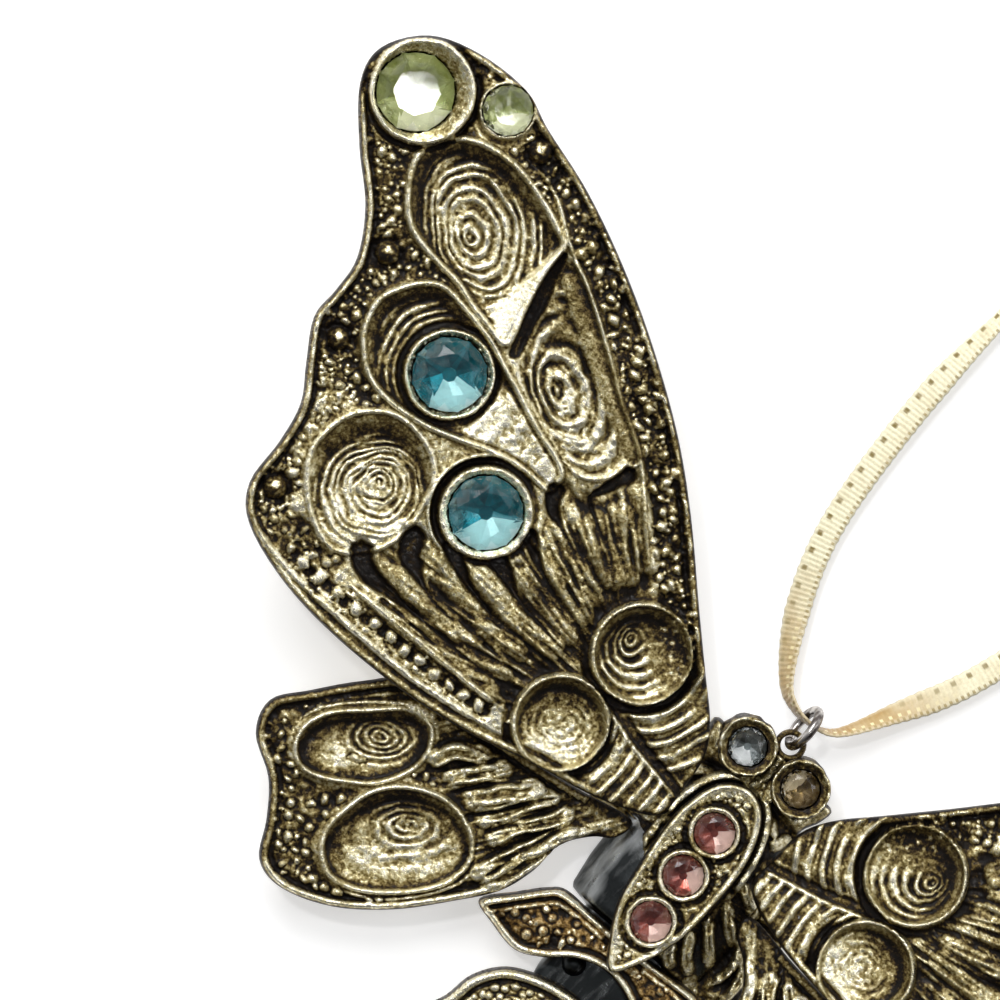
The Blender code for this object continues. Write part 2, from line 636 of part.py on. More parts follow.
def make_tail_piece(name, outline, low, beads, collection):
    """A domed plate: its outline's extrusion, cut to a flattened dome, with beads along its hem."""
    xs = [p.x for p in outline]
    ys = [p.y for p in outline]
    middle = (max(ys) + min(ys)) / 2
    half_x, half_y = max(xs), (max(ys) - min(ys)) / 2
    body = plate(name, outline, low, low + 6.0, collection)
    reach = 1.75
    dome = ball("dome", (0, middle, 0.0), (half_x * reach, half_y * reach, low + TAIL_HEIGHT),
                collection, segments=16, rings=12)
    body = joined(body, [dome], "INTERSECT", collection)
    adds = []
    for x, y in beads:
        height = (low + TAIL_HEIGHT) * math.sqrt(
            1 - (x / (half_x * reach)) ** 2 - ((y - middle) / (half_y * reach)) ** 2)
        adds.append(bead((x, y, height), BELL_BEAD, collection))
    return joined(body, adds, "UNION", collection)


def bell_beads(wide, long, top):
    """Beads in an arc inside each bell's rounded top, on both sides."""
    made = []
    for i in range(4):
        angle = math.radians(30 + 40 * i)
        made.append((6.4 * wide * math.cos(angle), top - long * (7.2 - 5.4 * math.sin(angle))))
    return made


def make_tail(material, collection):
    collar = smooth([tuple(p) for p in mirrored(COLLAR_HALF)], 1)
    beads = [(side * x, y) for side in (-1, 1)
             for x, y in ((3.6, -11.2), (5.4, -13.4), (7.2, -12.2), (8.4, -14.2))]
    pieces = [make_tail_piece("tail_collar", collar, TAIL_LOW, beads, collection)]
    wide, long = BELL_REACH / BELL_DRAWN[0], BELL_LENGTH / BELL_DRAWN[1]
    for i, (top, size) in enumerate(zip(bell_tops(), BELL_SIZES)):
        half = [(x * size * wide, top + y * size * long) for x, y in BELL_HALF]
        outline = smooth([tuple(p) for p in mirrored(half)], 1)
        pieces.append(make_tail_piece(f"tail_bell_{i + 1}", outline, TAIL_LOW,
                                      bell_beads(size * wide, size * long, top), collection))
    for piece in pieces:
        finish(piece, material)


def make_ring(material, collection):
    """The jump ring: upright, leaning a little, with its origin on the bar that it swings round."""
    pivot = (HANGER_Y + (HANGER_HOLE + HANGER_RADIUS) / 2)
    count, around = 22, 8
    line = [Vector((0.0, RING_Y - pivot + RING_RADIUS * math.cos(a), RING_RADIUS * math.sin(a)))
            for a in (2 * math.pi * i / count for i in range(count))]
    made = cord("jump_ring", [tuple(p) for p in line], RING_WIRE, collection, closed=True,
                sides=around // 4)
    made.location = (0.0, pivot * MM, HANGER_Z * MM)
    made.rotation_euler = (0.0, math.radians(RING_LEAN), 0.0)
    finish(made, material)
    return made


def strip(name, points, tilts, collection):
    """A flat strip along points: a curve whose extrusion is its width and whose bevel is its edge."""
    line = smooth(points, 2, closed=False)
    curve = bpy.data.curves.new(name, "CURVE")
    curve.dimensions = "3D"
    curve.twist_mode = "Z_UP"
    curve.extrude = (RIBBON_WIDTH - RIBBON_THICK) / 2 * MM
    curve.bevel_depth = RIBBON_THICK / 2 * MM
    curve.bevel_resolution = 1
    curve.use_fill_caps = True
    spline = curve.splines.new("POLY")
    spline.points.add(len(line) - 1)
    last = len(line) - 1
    for i, (point, place) in enumerate(zip(spline.points, line)):
        share = i / last
        near = max(0.0, 1 - share / 0.12)
        far = max(0.0, (share - 0.85) / 0.15)
        angle = tilts[1] + (tilts[0] - tilts[1]) * near + (tilts[2] - tilts[1]) * far
        point.co = (*(Vector(place) * MM), 1.0)
        point.tilt = math.radians(90 - angle)
        point.radius = 1.0 - (1.0 - RIBBON_PINCH) * near
    obj = add_object(name, curve, collection)
    return as_mesh(obj, collection)


def make_ribbon(material, collection):
    ring, left, right, knot = RIBBON_TILTS
    for name, points, lie in (("ribbon_left", RIBBON_LEFT, left), ("ribbon_right", RIBBON_RIGHT, right)):
        finish(strip(name, points, (ring, lie, knot), collection), material)
    body = ball("ribbon_knot", KNOT_AT, (KNOT_RADIUS, 0.9 * KNOT_RADIUS, 0.95 * KNOT_RADIUS),
                collection, segments=10, rings=6)
    ends = []
    for x, y in TAIL_ENDS:
        start = Vector(KNOT_AT)
        line = [start, Vector((0.6 * start.x + 0.4 * x, 0.6 * start.y + 0.4 * y, 1.4)), Vector((x, y, 1.3))]
        ends.append(strip("end", line, (60.0, 40.0, 10.0), collection))
    finish(joined(body, ends, "UNION", collection), material)


def main():
    clear_scene()
    ornament = new_collection("butterfly_ornament")
    gold = new_material("antique_gold", (0.50, 0.42, 0.24), 0.34, 1.0)
    silver = new_material("bare_metal", (0.42, 0.43, 0.44), 0.3, 1.0)
    satin = new_material("satin_ribbon", (0.86, 0.77, 0.52), 0.45, 0.0)
    green = new_material("pale_green_stone", (0.62, 0.72, 0.38), 0.08, 0.0)
    blue = new_material("aqua_stone", (0.07, 0.42, 0.52), 0.08, 0.0)
    pink = new_material("rose_stone", (0.62, 0.20, 0.22), 0.1, 0.0)
    clear = new_material("clear_stone", (0.62, 0.66, 0.66), 0.08, 0.0)
    smoky = new_material("smoky_stone", (0.42, 0.36, 0.26), 0.08, 0.0)

    finish(make_body(ornament), silver)
    finish(make_head(ornament), gold)
    finish(make_plaque(ornament), gold)
    make_tail(gold, ornament)

    left_wings = {
        "forewing": (finish(make_forewing(ornament), gold), FOREWING_LIFT, FOREWING_TILT),
        "hindwing": (finish(make_hindwing(ornament), gold), HINDWING_LIFT, HINDWING_TILT),
    }
    for kind, (wing, lift, tilt) in left_wings.items():
        for side, name in ((1, "left"), (-1, "right")):
            frame = frame_empty(f"{kind}_{name}_plane", lift, side * tilt, ornament)
            piece = wing if side == 1 else mirror_copy(wing, f"{kind}_right", ornament)
            piece.parent = frame
            if kind == "forewing":
                at = [(side * x, y)
                      for x, y in on_forewing([TIP_STONE_AT, SMALL_STONE_AT, *BLUE_STONES_AT])]
                seat = STONE_SEAT
                stone(f"tip_stone_{name}", at[0], TIP_STONE, green, ornament, frame, seat)
                stone(f"small_stone_{name}", at[1], SMALL_STONE, green, ornament, frame, seat)
                stone(f"upper_blue_stone_{name}", at[2], BLUE_STONE, blue, ornament, frame, seat)
                stone(f"lower_blue_stone_{name}", at[3], BLUE_STONE, blue, ornament, frame, seat)

    plaque_seat = PLAQUE_LOW + PLAQUE_THICK - 0.5
    for i, place in enumerate(PLAQUE_STONES):
        stone(f"thorax_stone_{i + 1}", place, PINK_STONE, pink, ornament, lift=plaque_seat)
    for side, name, material in ((-1, "left", clear), (1, "right", smoky)):
        stone(f"eye_stone_{name}", (side * EYE_CENTRE[0], EYE_CENTRE[1]), EYE_STONE, material,
              ornament, lift=EYE_CUP_TOP - 1.3)
    make_ring(silver, ornament)
    make_ribbon(satin, ornament)


main()
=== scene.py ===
"""Looks of the butterfly hanging ornament: cast reliefs, stones, ring and ribbon over the CAD frame.

Lengths are in millimetres in the tables and turned into metres where a mesh is made. The castings
are height fields: each is a flat outline with a grid of heights that ridges, rims, beads and
dishes are pressed into.
"""
import math

import bmesh
import bpy
import numpy as np
from mathutils import Matrix, Vector
from mathutils.geometry import delaunay_2d_cdt


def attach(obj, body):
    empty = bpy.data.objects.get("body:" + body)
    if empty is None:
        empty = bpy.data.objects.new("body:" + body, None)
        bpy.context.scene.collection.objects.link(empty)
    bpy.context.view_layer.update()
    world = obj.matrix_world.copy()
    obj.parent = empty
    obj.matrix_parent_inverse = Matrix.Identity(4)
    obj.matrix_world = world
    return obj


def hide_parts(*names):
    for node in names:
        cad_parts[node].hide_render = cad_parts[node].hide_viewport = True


MM = 0.001
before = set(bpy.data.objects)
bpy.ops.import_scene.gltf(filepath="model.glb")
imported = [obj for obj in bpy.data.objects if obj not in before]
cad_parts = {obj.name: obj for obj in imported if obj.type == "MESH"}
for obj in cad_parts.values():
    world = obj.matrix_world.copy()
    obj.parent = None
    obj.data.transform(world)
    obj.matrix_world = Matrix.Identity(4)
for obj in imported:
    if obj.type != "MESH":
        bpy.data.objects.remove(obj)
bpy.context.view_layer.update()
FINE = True
COARSER = 2.5

# Camera: straight above the left forewing, turned so that the butterfly lies aslant.
VIEW_CENTRE = (-30.6, 11.6, 5.0)
VIEW_WIDTH = 80.0
VIEW_RIGHT = (0.777, 0.63)
VIEW_UP = (-0.63, 0.777)
CAMERA_HEIGHT = 420.0
# The room's brightness from the horizon to overhead, and its share below and above the picture.
ROOM_TONES = [(0.0, 0.95), (0.25, 0.90), (0.45, 0.62), (0.65, 0.36), (0.85, 0.26), (1.0, 0.28)]
ROOM_SIDES = (0.22, 1.55)
# The floor in metres: its width, the gap under the ornament, and how much it glows for the camera.
FLOOR_WIDTH, FLOOR_GAP, FLOOR_GLOW = 4.0, 0.0001, 0.46

# Planes of the wings, as the CAD has them.
FOREWING_LIFT, FOREWING_TILT = 3.0, 7.0
HINDWING_LIFT, HINDWING_TILT = 1.7, 5.0
PLATE = 1.1
PLAQUE_LOW = 4.3
TAIL_LOW = 1.8
BACK_PATINA = 0.45


# Small tools
def smooth(points, per_span=5, closed=True):
    """Points along the Catmull-Rom curve through the given ones."""
    points = np.asarray(points, float)
    count = len(points)
    made = []
    for i in range(count if closed else count - 1):
        if closed:
            a, b, c, d = (points[(i + k - 1) % count] for k in range(4))
        else:
            a, b, c, d = (points[min(max(i + k - 1, 0), count - 1)] for k in range(4))
        for step in range(per_span):
            t = step / per_span
            made.append(0.5 * (2 * b + (c - a) * t + (2 * a - 5 * b + 4 * c - d) * t * t
                               + (3 * b - a - 3 * c + d) * t ** 3))
    if not closed:
        made.append(points[-1])
    return np.array(made)


def curve(points, per_span=5):
    """Points along an open curve through the given ones."""
    return smooth(points, per_span, closed=False)


def circle(x, y, radius, count=48):
    turn = np.linspace(0, 2 * math.pi, count, endpoint=False)
    return np.stack([x + radius * np.cos(turn), y + radius * np.sin(turn)], 1)


def spaced(points, pitch, closed=False):
    """Points a pitch apart along a polyline."""
    points = np.asarray(points, float)
    if closed:
        points = np.vstack([points, points[:1]])
    length = np.concatenate([[0], np.cumsum(np.hypot(*np.diff(points, axis=0).T[:2]))])
    at = np.linspace(0, length[-1], max(2, round(length[-1] / pitch) + 1))
    return np.stack([np.interp(at, length, points[:, k]) for k in range(points.shape[1])], 1)


def noise(x, y, size, seed):
    """Smooth noise from -1 to 1 whose bumps are size across."""
    table = np.random.default_rng(seed).uniform(-1, 1, (61, 61))
    u, v = x / size, y / size
    i, j = np.floor(u).astype(int), np.floor(v).astype(int)
    s, t = u - i, v - j
    s, t = s * s * (3 - 2 * s), t * t * (3 - 2 * t)
    i, j, k, l = i % 61, j % 61, (i + 1) % 61, (j + 1) % 61
    return ((table[i, j] * (1 - s) + table[k, j] * s) * (1 - t)
            + (table[i, l] * (1 - s) + table[k, l] * s) * t)


def ramp(x, low, high):
    t = np.clip((x - low) / (high - low), 0, 1)
    return t * t * (3 - 2 * t)


def fall(x, low, high):
    """1 below low and 0 above high."""
    return 1 - ramp(x, low, high)


def near(off, low, high):
    """1 where off is close to nothing, and 0 where it is more than high either way."""
    return fall(np.abs(off), low, high)


def round_top(u):
    return np.clip(1 - u * u, 0, 1) ** 0.65


def blurred(field, radius):
    """The field under a Gaussian blur of that many grid steps."""
    pad = int(3 * radius) + 1
    wide = np.pad(field, pad, mode="edge")
    fx = np.fft.fftfreq(wide.shape[0])[:, None]
    fy = np.fft.rfftfreq(wide.shape[1])[None, :]
    weight = np.exp(-2 * (math.pi * radius) ** 2 * (fx ** 2 + fy ** 2))
    made = np.fft.irfft2(np.fft.rfft2(wide) * weight, s=wide.shape)
    return made[pad:-pad, pad:-pad]


class Relief:
    """Heights on a square grid over a flat outline: the face of a casting."""

    def __init__(self, outline, step, base):
        self.outline = np.asarray(outline, float)
        self.step = step if FINE else step * COARSER
        low = self.outline.min(0) - 2 * self.step
        high = self.outline.max(0) + 3 * self.step
        self.x = np.arange(low[0], high[0], self.step)
        self.y = np.arange(low[1], high[1], self.step)
        self.X, self.Y = np.meshgrid(self.x, self.y, indexing="ij")
        self.base = base
        self.h = np.full(self.X.shape, float(base))
        self.edge = self.signed(self.outline, 4.0, nearest=True)
        # Extra darkness on the face: the dark finish in places, and painted shade and painted highlights
        # elsewhere.
        self.darkening_and_painted_light = np.zeros(self.X.shape)
        self.film = np.zeros(self.X.shape)
        self.ground = np.zeros(self.X.shape)
        self.rng = np.random.default_rng(5)

    def noise(self, size, seed):
        return noise(self.X, self.Y, size, seed)

    def far(self, x, y):
        """How far each grid point is from one place."""
        return np.hypot(self.X - x, self.Y - y)

    def up(self, x, y):
        """How far each grid point lies toward the picture's top from one place."""
        return (self.X - x) * VIEW_UP[0] + (self.Y - y) * VIEW_UP[1]

    def soft(self, field, width):
        """The field, or a mask, under a blur of that many millimetres."""
        return blurred(field.astype(float), width / self.step)

    def window(self, low, high):
        i0, i1 = np.searchsorted(self.x, (low[0], high[0]))
        j0, j1 = np.searchsorted(self.y, (low[1], high[1]))
        return slice(i0, i1), slice(j0, j1)

    def around(self, x, y, reach):
        """The grid window round one place, and how far from it each point in there is."""
        w = self.window((x - reach, y - reach), (x + reach, y + reach))
        return w, np.hypot(self.X[w] - x, self.Y[w] - y)

    def height_at(self, x, y):
        i = min(np.searchsorted(self.x, x), len(self.x) - 1)
        j = min(np.searchsorted(self.y, y), len(self.y) - 1)
        return self.h[i, j]

    def segment(self, a, b, room):
        """The window round a segment, how far along it each point lies, from 0 to 1, and how far off it."""
        w = self.window(np.minimum(a, b) - room, np.maximum(a, b) + room)
        x, y, ab = self.X[w] - a[0], self.Y[w] - a[1], b - a
        t = np.clip((x * ab[0] + y * ab[1]) / max(ab @ ab, 1e-9), 0, 1)
        return w, t, np.hypot(x - t * ab[0], y - t * ab[1])

    def distance(self, points, closed=False, reach=2.0, nearest=False):
        """How far each grid point is from the polyline, up to reach."""
        points = np.asarray(points, float)
        ends = np.roll(points, -1, axis=0) if closed else points[1:]
        far = np.full(self.X.shape, reach)
        if nearest:
            self.near_x, self.near_y = self.X.copy(), self.Y.copy()
        for a, b in zip(points, ends):
            w, t, d = self.segment(a, b, reach)
            if nearest:
                closer = d < far[w]
                self.near_x[w] = np.where(closer, a[0] + t * (b - a)[0], self.near_x[w])
                self.near_y[w] = np.where(closer, a[1] + t * (b - a)[1], self.near_y[w])
            far[w] = np.minimum(far[w], d)
        return far

    def inside(self, points):
        points = np.asarray(points, float)
        odd = np.zeros(self.X.shape, bool)
        for a, b in zip(points, np.roll(points, -1, axis=0)):
            if a[1] == b[1]:
                continue
            crosses = (a[1] > self.Y) != (b[1] > self.Y)
            odd ^= crosses & (self.X < (b[0] - a[0]) * (self.Y - a[1]) / (b[1] - a[1]) + a[0])
        return odd

    def within(self, points, blend=0.3, reach=3.0):
        """1 inside a closed outline and 0 outside, with a soft edge."""
        return ramp(self.signed(points, reach), -blend, blend)

    def raise_to(self, bump):
        """The height is at least the base plus bump, where there is a bump."""
        self.h = np.where(bump > 0, np.maximum(self.h, self.base + bump), self.h)

    def ridge(self, points, width, height, closed=False, taper=0.0, sink=0.0):
        """A rounded ridge, width across, that keeps its height over the ground it crosses."""
        points = np.asarray(points, float)
        ends = np.roll(points, -1, axis=0) if closed else points[1:]
        lengths = np.hypot(*(ends - points[:len(ends)]).T)
        total, run = lengths.sum(), 0.0
        half = width / 2
        bump = np.zeros(self.X.shape)
        for a, b, length in zip(points, ends, lengths):
            w, t, d = self.segment(a, b, 1.3 * half)
            share = (run + t * length) / total
            size = 1.0 if closed or not taper else np.clip(np.minimum(share, 1 - share) / taper, 0.25, 1)
            bump[w] = np.maximum(bump[w], height * size * round_top(d / (half * size)))
            run += length
        ground = np.minimum(self.h, self.base - sink) if sink else self.h
        self.h = np.where(bump > 0, np.maximum(self.h, ground + bump), self.h)

    def groove(self, points, width, depth, closed=False):
        d = self.distance(points, closed=closed, reach=width)
        self.h -= depth * fall(d, 0.15 * width, 0.7 * width)

    def bead(self, x, y, radius, rise=0.9):
        w, _ = self.around(x, y, radius)
        d2 = (self.X[w] - x) ** 2 + (self.Y[w] - y) ** 2
        top = rise * np.sqrt(np.clip(radius * radius - d2, 0, None))
        ground = min(self.height_at(x, y), self.base + 0.2)
        self.h[w] = np.where(top > 0, np.maximum(self.h[w], ground + top), self.h[w])

    def beads(self, points, radius, jitter=0.12, rise=0.9):
        for x, y in points:
            size = radius * (1 + self.rng.uniform(-0.2, 0.15))
            dx, dy = self.rng.uniform(-jitter, jitter, 2)
            self.groove_dot(x + dx, y + dy, size * 1.5, 0.16)
            self.bead(x + dx, y + dy, size, rise)

    def groove_dot(self, x, y, radius, depth):
        w, d = self.around(x, y, radius)
        self.h[w] -= depth * fall(d, 0.5 * radius, radius)

    def pit(self, x, y, radius, depth):
        d = self.far(x, y) + 0.35 * radius * self.noise(0.8, 3)
        self.h -= depth * fall(d, 0.45 * radius, radius)

    def signed(self, points, reach=5.0, nearest=False):
        """How far inside a closed outline each grid point is. It is below 0 outside."""
        away = self.distance(points, closed=True, reach=reach, nearest=nearest)
        return np.where(self.inside(points), away, -away)

    def bowl(self, cell, depth, wide=1.3, narrow=0.4, sag=0.18):
        """Sinks a dish whose wall is long at the picture's top, and returns the mask of its floor. The wall
        at the picture's top gets painted shade, and the floor painted shade toward the top and painted light
        toward the bottom.
        """
        signed = self.signed(cell)
        middle = cell.mean(0)
        half = np.hypot(*(cell - middle).T).mean()
        up = self.up(*middle) / half
        wall = narrow + (wide - narrow) * ramp(up, -0.4, 0.8)
        self.h -= depth * (0.4 + 0.6 * ramp(up, -1.0, 0.5)) * ramp(signed, 0.05, wall + 0.05)
        self.h -= sag * (1 - (1 - np.clip(signed / (0.8 * half), 0, 1)) ** 2)
        # Painted shade on the upper wall; on the floor, painted shade toward the picture's top and painted
        # light toward its bottom.
        self.darkening_and_painted_light += 0.25 * ramp(up, 0.1, 0.9) * ramp(signed, 0.0, 0.3) * fall(signed, wall - 0.2, wall + 0.5)
        floor = ramp(signed, wall - 0.3, wall + 0.2)
        self.darkening_and_painted_light += floor * (0.1 * ramp(up, -0.1, 0.8) - 0.2 * ramp(-up, -0.2, 0.8))
        return floor

    def ovals(self, mask, centre, aspect, tilt, crests, height, drift=(0.0, 0.0), wander=0.12, sharp=1.3,
              hair=0.05, seed=1):
        """Oval ridges round a centre that drifts as they grow, like the growth lines of a shell."""
        a = math.radians(tilt)
        c, s = math.cos(a), math.sin(a)
        x, y = (grid - middle + wander * (self.noise(2.3, k) + 0.5 * self.noise(0.9, k + 1))
                for grid, middle, k in ((self.X, centre[0], seed), (self.Y, centre[1], seed + 2)))
        u, v = (x * c + y * s) / aspect, y * c - x * s
        drift_u, drift_v = (drift[0] * c + drift[1] * s) / aspect, drift[1] * c - drift[0] * s
        lean, left = u * drift_u + v * drift_v, 1 - drift_u ** 2 - drift_v ** 2
        rho = (np.sqrt(lean ** 2 + left * (u * u + v * v)) - lean) / left
        phase = np.interp(rho, crests, np.arange(len(crests)))
        strength = np.random.default_rng(seed).uniform(0.6, 1.15, len(crests))[np.round(phase).astype(int)]
        lines = (0.5 + 0.5 * np.cos(2 * math.pi * phase)) ** sharp
        broken = np.clip(0.85 + 0.7 * self.noise(1.2, seed + 4) + 0.5 * self.noise(0.45, seed + 6), 0.05, 1.5)
        inside = mask * fall(rho, crests[-1], crests[-1] + 0.4)
        self.h += inside * height * strength * broken * (lines - 0.42)
        turn = np.arctan2(v, u) + math.pi
        self.h += mask * hair * noise(turn * 2.4, rho / 0.17, 1.0, seed + 5)

    def streaks(self, mask, along, across, size, amount, seed):
        """Hair-fine grooves that run along one coordinate."""
        self.h += mask * amount * (noise(along / (10 * size), across / size, 1.0, seed)
                                   + 0.6 * noise(along / (4 * size), across / (0.6 * size), 1.0, seed + 1))

    def hairs(self, mask, along, across, size, amount, seed):
        """Thin raised lines that run along one coordinate and wander across the other."""
        for k in range(2):
            wave = noise(along / (9 * size), across / size, 1.0, seed + k)
            cut = ramp(noise(along / 2.2, across, 1.6, seed + 7 + k), -0.5, 0.1)
            self.h += mask * amount * cut * np.clip(1 - np.abs(wave + 0.15 * k) / 0.3, 0, 1)

    def cords(self, lines, widths, heights, threads, seed):
        """Rough ridges along the given lines, with finer threads on them."""
        rng = np.random.default_rng(seed)
        for points in lines:
            line = spaced(curve(points, 6), 0.4)
            wobble = noise(line[:, 0], line[:, 1], 1.6, int(rng.integers(1, 90)))
            line = line + 0.16 * np.stack([wobble, -wobble], 1)
            high = rng.uniform(*heights)
            self.ridge(line, rng.uniform(*widths), high, taper=0.12)
            run = line[-1] - line[0]
            normal = np.array((-run[1], run[0])) / np.hypot(*run)
            for offset in threads:
                drift = noise(line[:, 0], line[:, 1], 1.3, int(rng.integers(1, 90)))
                thread = line + (offset + 0.14 * drift)[:, None] * normal
                first, last = rng.integers(0, 4), len(thread) - rng.integers(0, 5)
                if last - first > 3:
                    width = rng.uniform(0.35, 0.6)
                    self.ridge(thread[first:last], width, high + rng.uniform(-0.1, 0.04), taper=0.25)

    def valley(self, points, widths, depths, at=(0, 1)):
        """A cut along a line, which has the given widths and depths at those shares of its length."""
        line = spaced(curve(points, 6), 0.15)
        share = np.linspace(0, 1, len(line))
        cut = np.zeros(self.X.shape)
        for (x, y), width, depth in zip(line, np.interp(share, at, widths), np.interp(share, at, depths)):
            w, away = self.around(x, y, width / 2)
            cut[w] = np.maximum(cut[w], depth * fall(away, 0.2 * width, 0.5 * width))
        self.h -= cut

    def nugget(self, x, y, size, squash, turn, rise=0.85, painted_shine=0.0):
        """One uneven grain, with a moat round it."""
        w, _ = self.around(x, y, 1.4 * size)
        u = (self.X[w] - x) * math.cos(turn) + (self.Y[w] - y) * math.sin(turn)
        v = ((self.Y[w] - y) * math.cos(turn) - (self.X[w] - x) * math.sin(turn)) / squash
        d2 = (u * u + v * v) / size ** 2 * (1 + 0.55 * noise(self.X[w], self.Y[w], 0.42, 7))
        ground = min(self.height_at(x, y), self.base)
        self.h[w] -= 0.12 * fall(d2, 1.0, 1.6)
        top = ground + rise * size * (1 - np.minimum(d2, 1)) ** 0.7
        self.h[w] = np.where(d2 < 1, np.maximum(self.h[w], top), self.h[w])
        # A painted highlight on the grain's side toward the picture's top.
        if painted_shine:
            self.painted_glint(x, y, 0.42 * size, painted_shine)

    def painted_glint(self, x, y, size, painted_shine):
        """A painted highlight: a lighter spot on the side of a grain that faces the picture's top."""
        x, y = x + 0.6 * size * VIEW_UP[0], y + 0.6 * size * VIEW_UP[1]
        size = max(size, 1.5 * self.step)
        w, away = self.around(x, y, size)
        self.darkening_and_painted_light[w] -= painted_shine * fall(away, 0.45 * size, size)

    def nuggets(self, mask, pitch, radius, seed=2, gaps=0.1, rise=0.85, painted_shine=0.0):
        """Uneven grains packed over a mask, as granulation."""
        rng = np.random.default_rng(seed)
        for k, y in enumerate(np.arange(self.y[0], self.y[-1], pitch * 0.87)):
            for x in np.arange(self.x[0] + (k % 2) * pitch / 2, self.x[-1], pitch):
                px, py = np.array((x, y)) + rng.uniform(-0.3, 0.3, 2) * pitch
                size, squash, turn, kept = rng.uniform((0.6, 0.5, 0, 0), (1.15, 1.0, math.pi, 1))
                i, j = np.searchsorted(self.x, px), np.searchsorted(self.y, py)
                if i < mask.shape[0] and j < mask.shape[1] and mask[i, j] and kept > gaps:
                    self.nugget(px, py, radius * size, squash, turn, rise * rng.uniform(0.6, 1.1), painted_shine)

    def cup(self, x, y, stone, floor, crest, lip, rise, shift=(0.0, 0.0), moat=0.25):
        """A round stone's cup: a pocket, a slope and a crest, whose circle may lie off the stone's."""
        rough = 0.05 * self.noise(1.3, 9) + 0.03 * self.noise(0.5, 10)
        from_stone = self.far(x, y)
        from_crest = np.hypot(self.X - x - shift[0], self.Y - y - shift[1]) + rough
        up, across = np.maximum(crest - from_crest, 0), np.maximum(from_stone - stone, 0)
        share = up / (up + across + 0.02)
        slope = self.base + rise - (rise - 0.12) * share + 0.05 * self.noise(0.42, 12)
        crown = self.base + rise * round_top((from_crest - crest) / lip)
        self.h = np.where(from_crest < crest, slope, np.where(from_crest < crest + lip,
                                                             np.maximum(self.h, crown), self.h))
        self.h = np.where(from_stone < stone + 0.06, floor, self.h)
        self.h -= moat * near(from_crest - crest - lip - 0.25, 0.05, 0.4)

    def rough(self, amount, seed=11):
        """The unevenness of a cast and hand-finished face."""
        for size, share in ((3.1, 1.0), (1.2, 0.6), (0.55, 0.5), (0.3, 0.4)):
            self.h += amount * share * self.noise(size, seed + int(size * 10))

    def roll_edge(self, low, radius):
        """The face turns down to the height low at the outline."""
        self.low = low
        turn = np.clip(self.edge / radius, 0, 1)
        self.h = low + (self.h - low) * np.sqrt(np.clip(1 - (1 - turn) ** 2, 0, 1))

    def patina_and_painted_light(self):
        """1 in the recesses, where the dark finish stays, and 0 on what a polishing cloth reaches. The extra
        darkening, which holds painted shade and painted highlights, is added to it.
        """
        filled = np.where(self.edge > 0, self.h - self.ground, self.base)
        fine = self.soft(filled, 0.22) - filled
        wide = self.soft(filled, 0.9) - filled
        dark = ramp(fine, -0.05, 0.12) * 0.42 + ramp(wide, -0.16, 0.34) * 0.72
        dark += self.darkening_and_painted_light
        return np.clip(dark + self.film * (0.52 - dark), 0, 1)

    def mesh(self, name):
        """A mesh of the face, its edge drawn onto the outline."""
        close = np.abs(self.edge) < 0.5 * self.step
        h = np.where(close | (self.edge < 0), self.low, self.h)
        X, Y = np.where(close, self.near_x, self.X), np.where(close, self.near_y, self.Y)
        keep = self.edge > -0.5 * self.step
        index = np.where(keep, np.cumsum(keep.ravel()).reshape(keep.shape) - 1, -1)
        a, b, c, d = index[:-1, :-1], index[1:, :-1], index[1:, 1:], index[:-1, 1:]
        corners = np.stack([a, b, c, d], -1).reshape(-1, 4)
        count = (corners >= 0).sum(1)
        three = corners[count == 3]
        points = np.stack([X[keep], Y[keep], h[keep]], 1) * MM
        made = mesh_from(name, points, corners[count == 4], three[three >= 0].reshape(-1, 3))
        give(made, "patina_and_painted_light", self.patina_and_painted_light()[keep])
        return made


def mesh_from(name, points, quads, tris=np.zeros((0, 3), int)):
    made = bpy.data.meshes.new(name)
    made.vertices.add(len(points))
    made.vertices.foreach_set("co", np.ascontiguousarray(points, np.float32).ravel())
    loops = np.concatenate([quads.ravel(), tris.ravel()]).astype(np.int32)
    made.loops.add(len(loops))
    made.loops.foreach_set("vertex_index", loops)
    sizes = np.concatenate([np.full(len(quads), 4), np.full(len(tris), 3)])
    starts = np.concatenate([[0], np.cumsum(sizes)[:-1]]).astype(np.int32)
    made.polygons.add(len(sizes))
    made.polygons.foreach_set("loop_start", starts)
    made.update(calc_edges=True)
    made.validate()
    made.shade_smooth()
    return made


def give(mesh, key, values, domain="POINT"):
    """Stores one number for each point, or for each face, under a name that the materials read."""
    mesh.attributes.new(key, "FLOAT", domain).data.foreach_set("value", np.asarray(values, np.float32))


def points_of(mesh):
    """The mesh's points in millimetres."""
    place = np.zeros(len(mesh.vertices) * 3, np.float32)
    mesh.vertices.foreach_get("co", place)
    return place.reshape(-1, 3) / MM


def sleeve(rows, around, closed=False):
    """Quads between neighbouring rings of points, each of them so many points around."""
    base = np.arange(rows if closed else rows - 1)[:, None] * around
    ahead = (base + around) % (rows * around)
    a = np.arange(around)
    b = np.roll(a, -1)
    return np.stack([base + a, base + b, ahead + b, ahead + a], -1).reshape(-1, 4)


def lids(rows, around):
    """Triangles that close a sleeve's ends on the two points that follow its own."""
    a, tail = np.arange(around), (rows - 1) * around
    b = np.roll(a, -1)
    return np.concatenate([np.stack([np.full(around, rows * around), b, a], 1),
                           np.stack([np.full(around, rows * around + 1), tail + a, tail + b], 1)])


def add(name, mesh, material, body, node=None):
    """A piece of the picture, which rides on a body and may stand for one of the CAD's nodes."""
    obj = bpy.data.objects.new(name, mesh)
    bpy.context.scene.collection.objects.link(obj)
    mesh.materials.clear()
    mesh.materials.append(material)
    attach(obj, body)
    if node:
        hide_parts(node)
    return obj


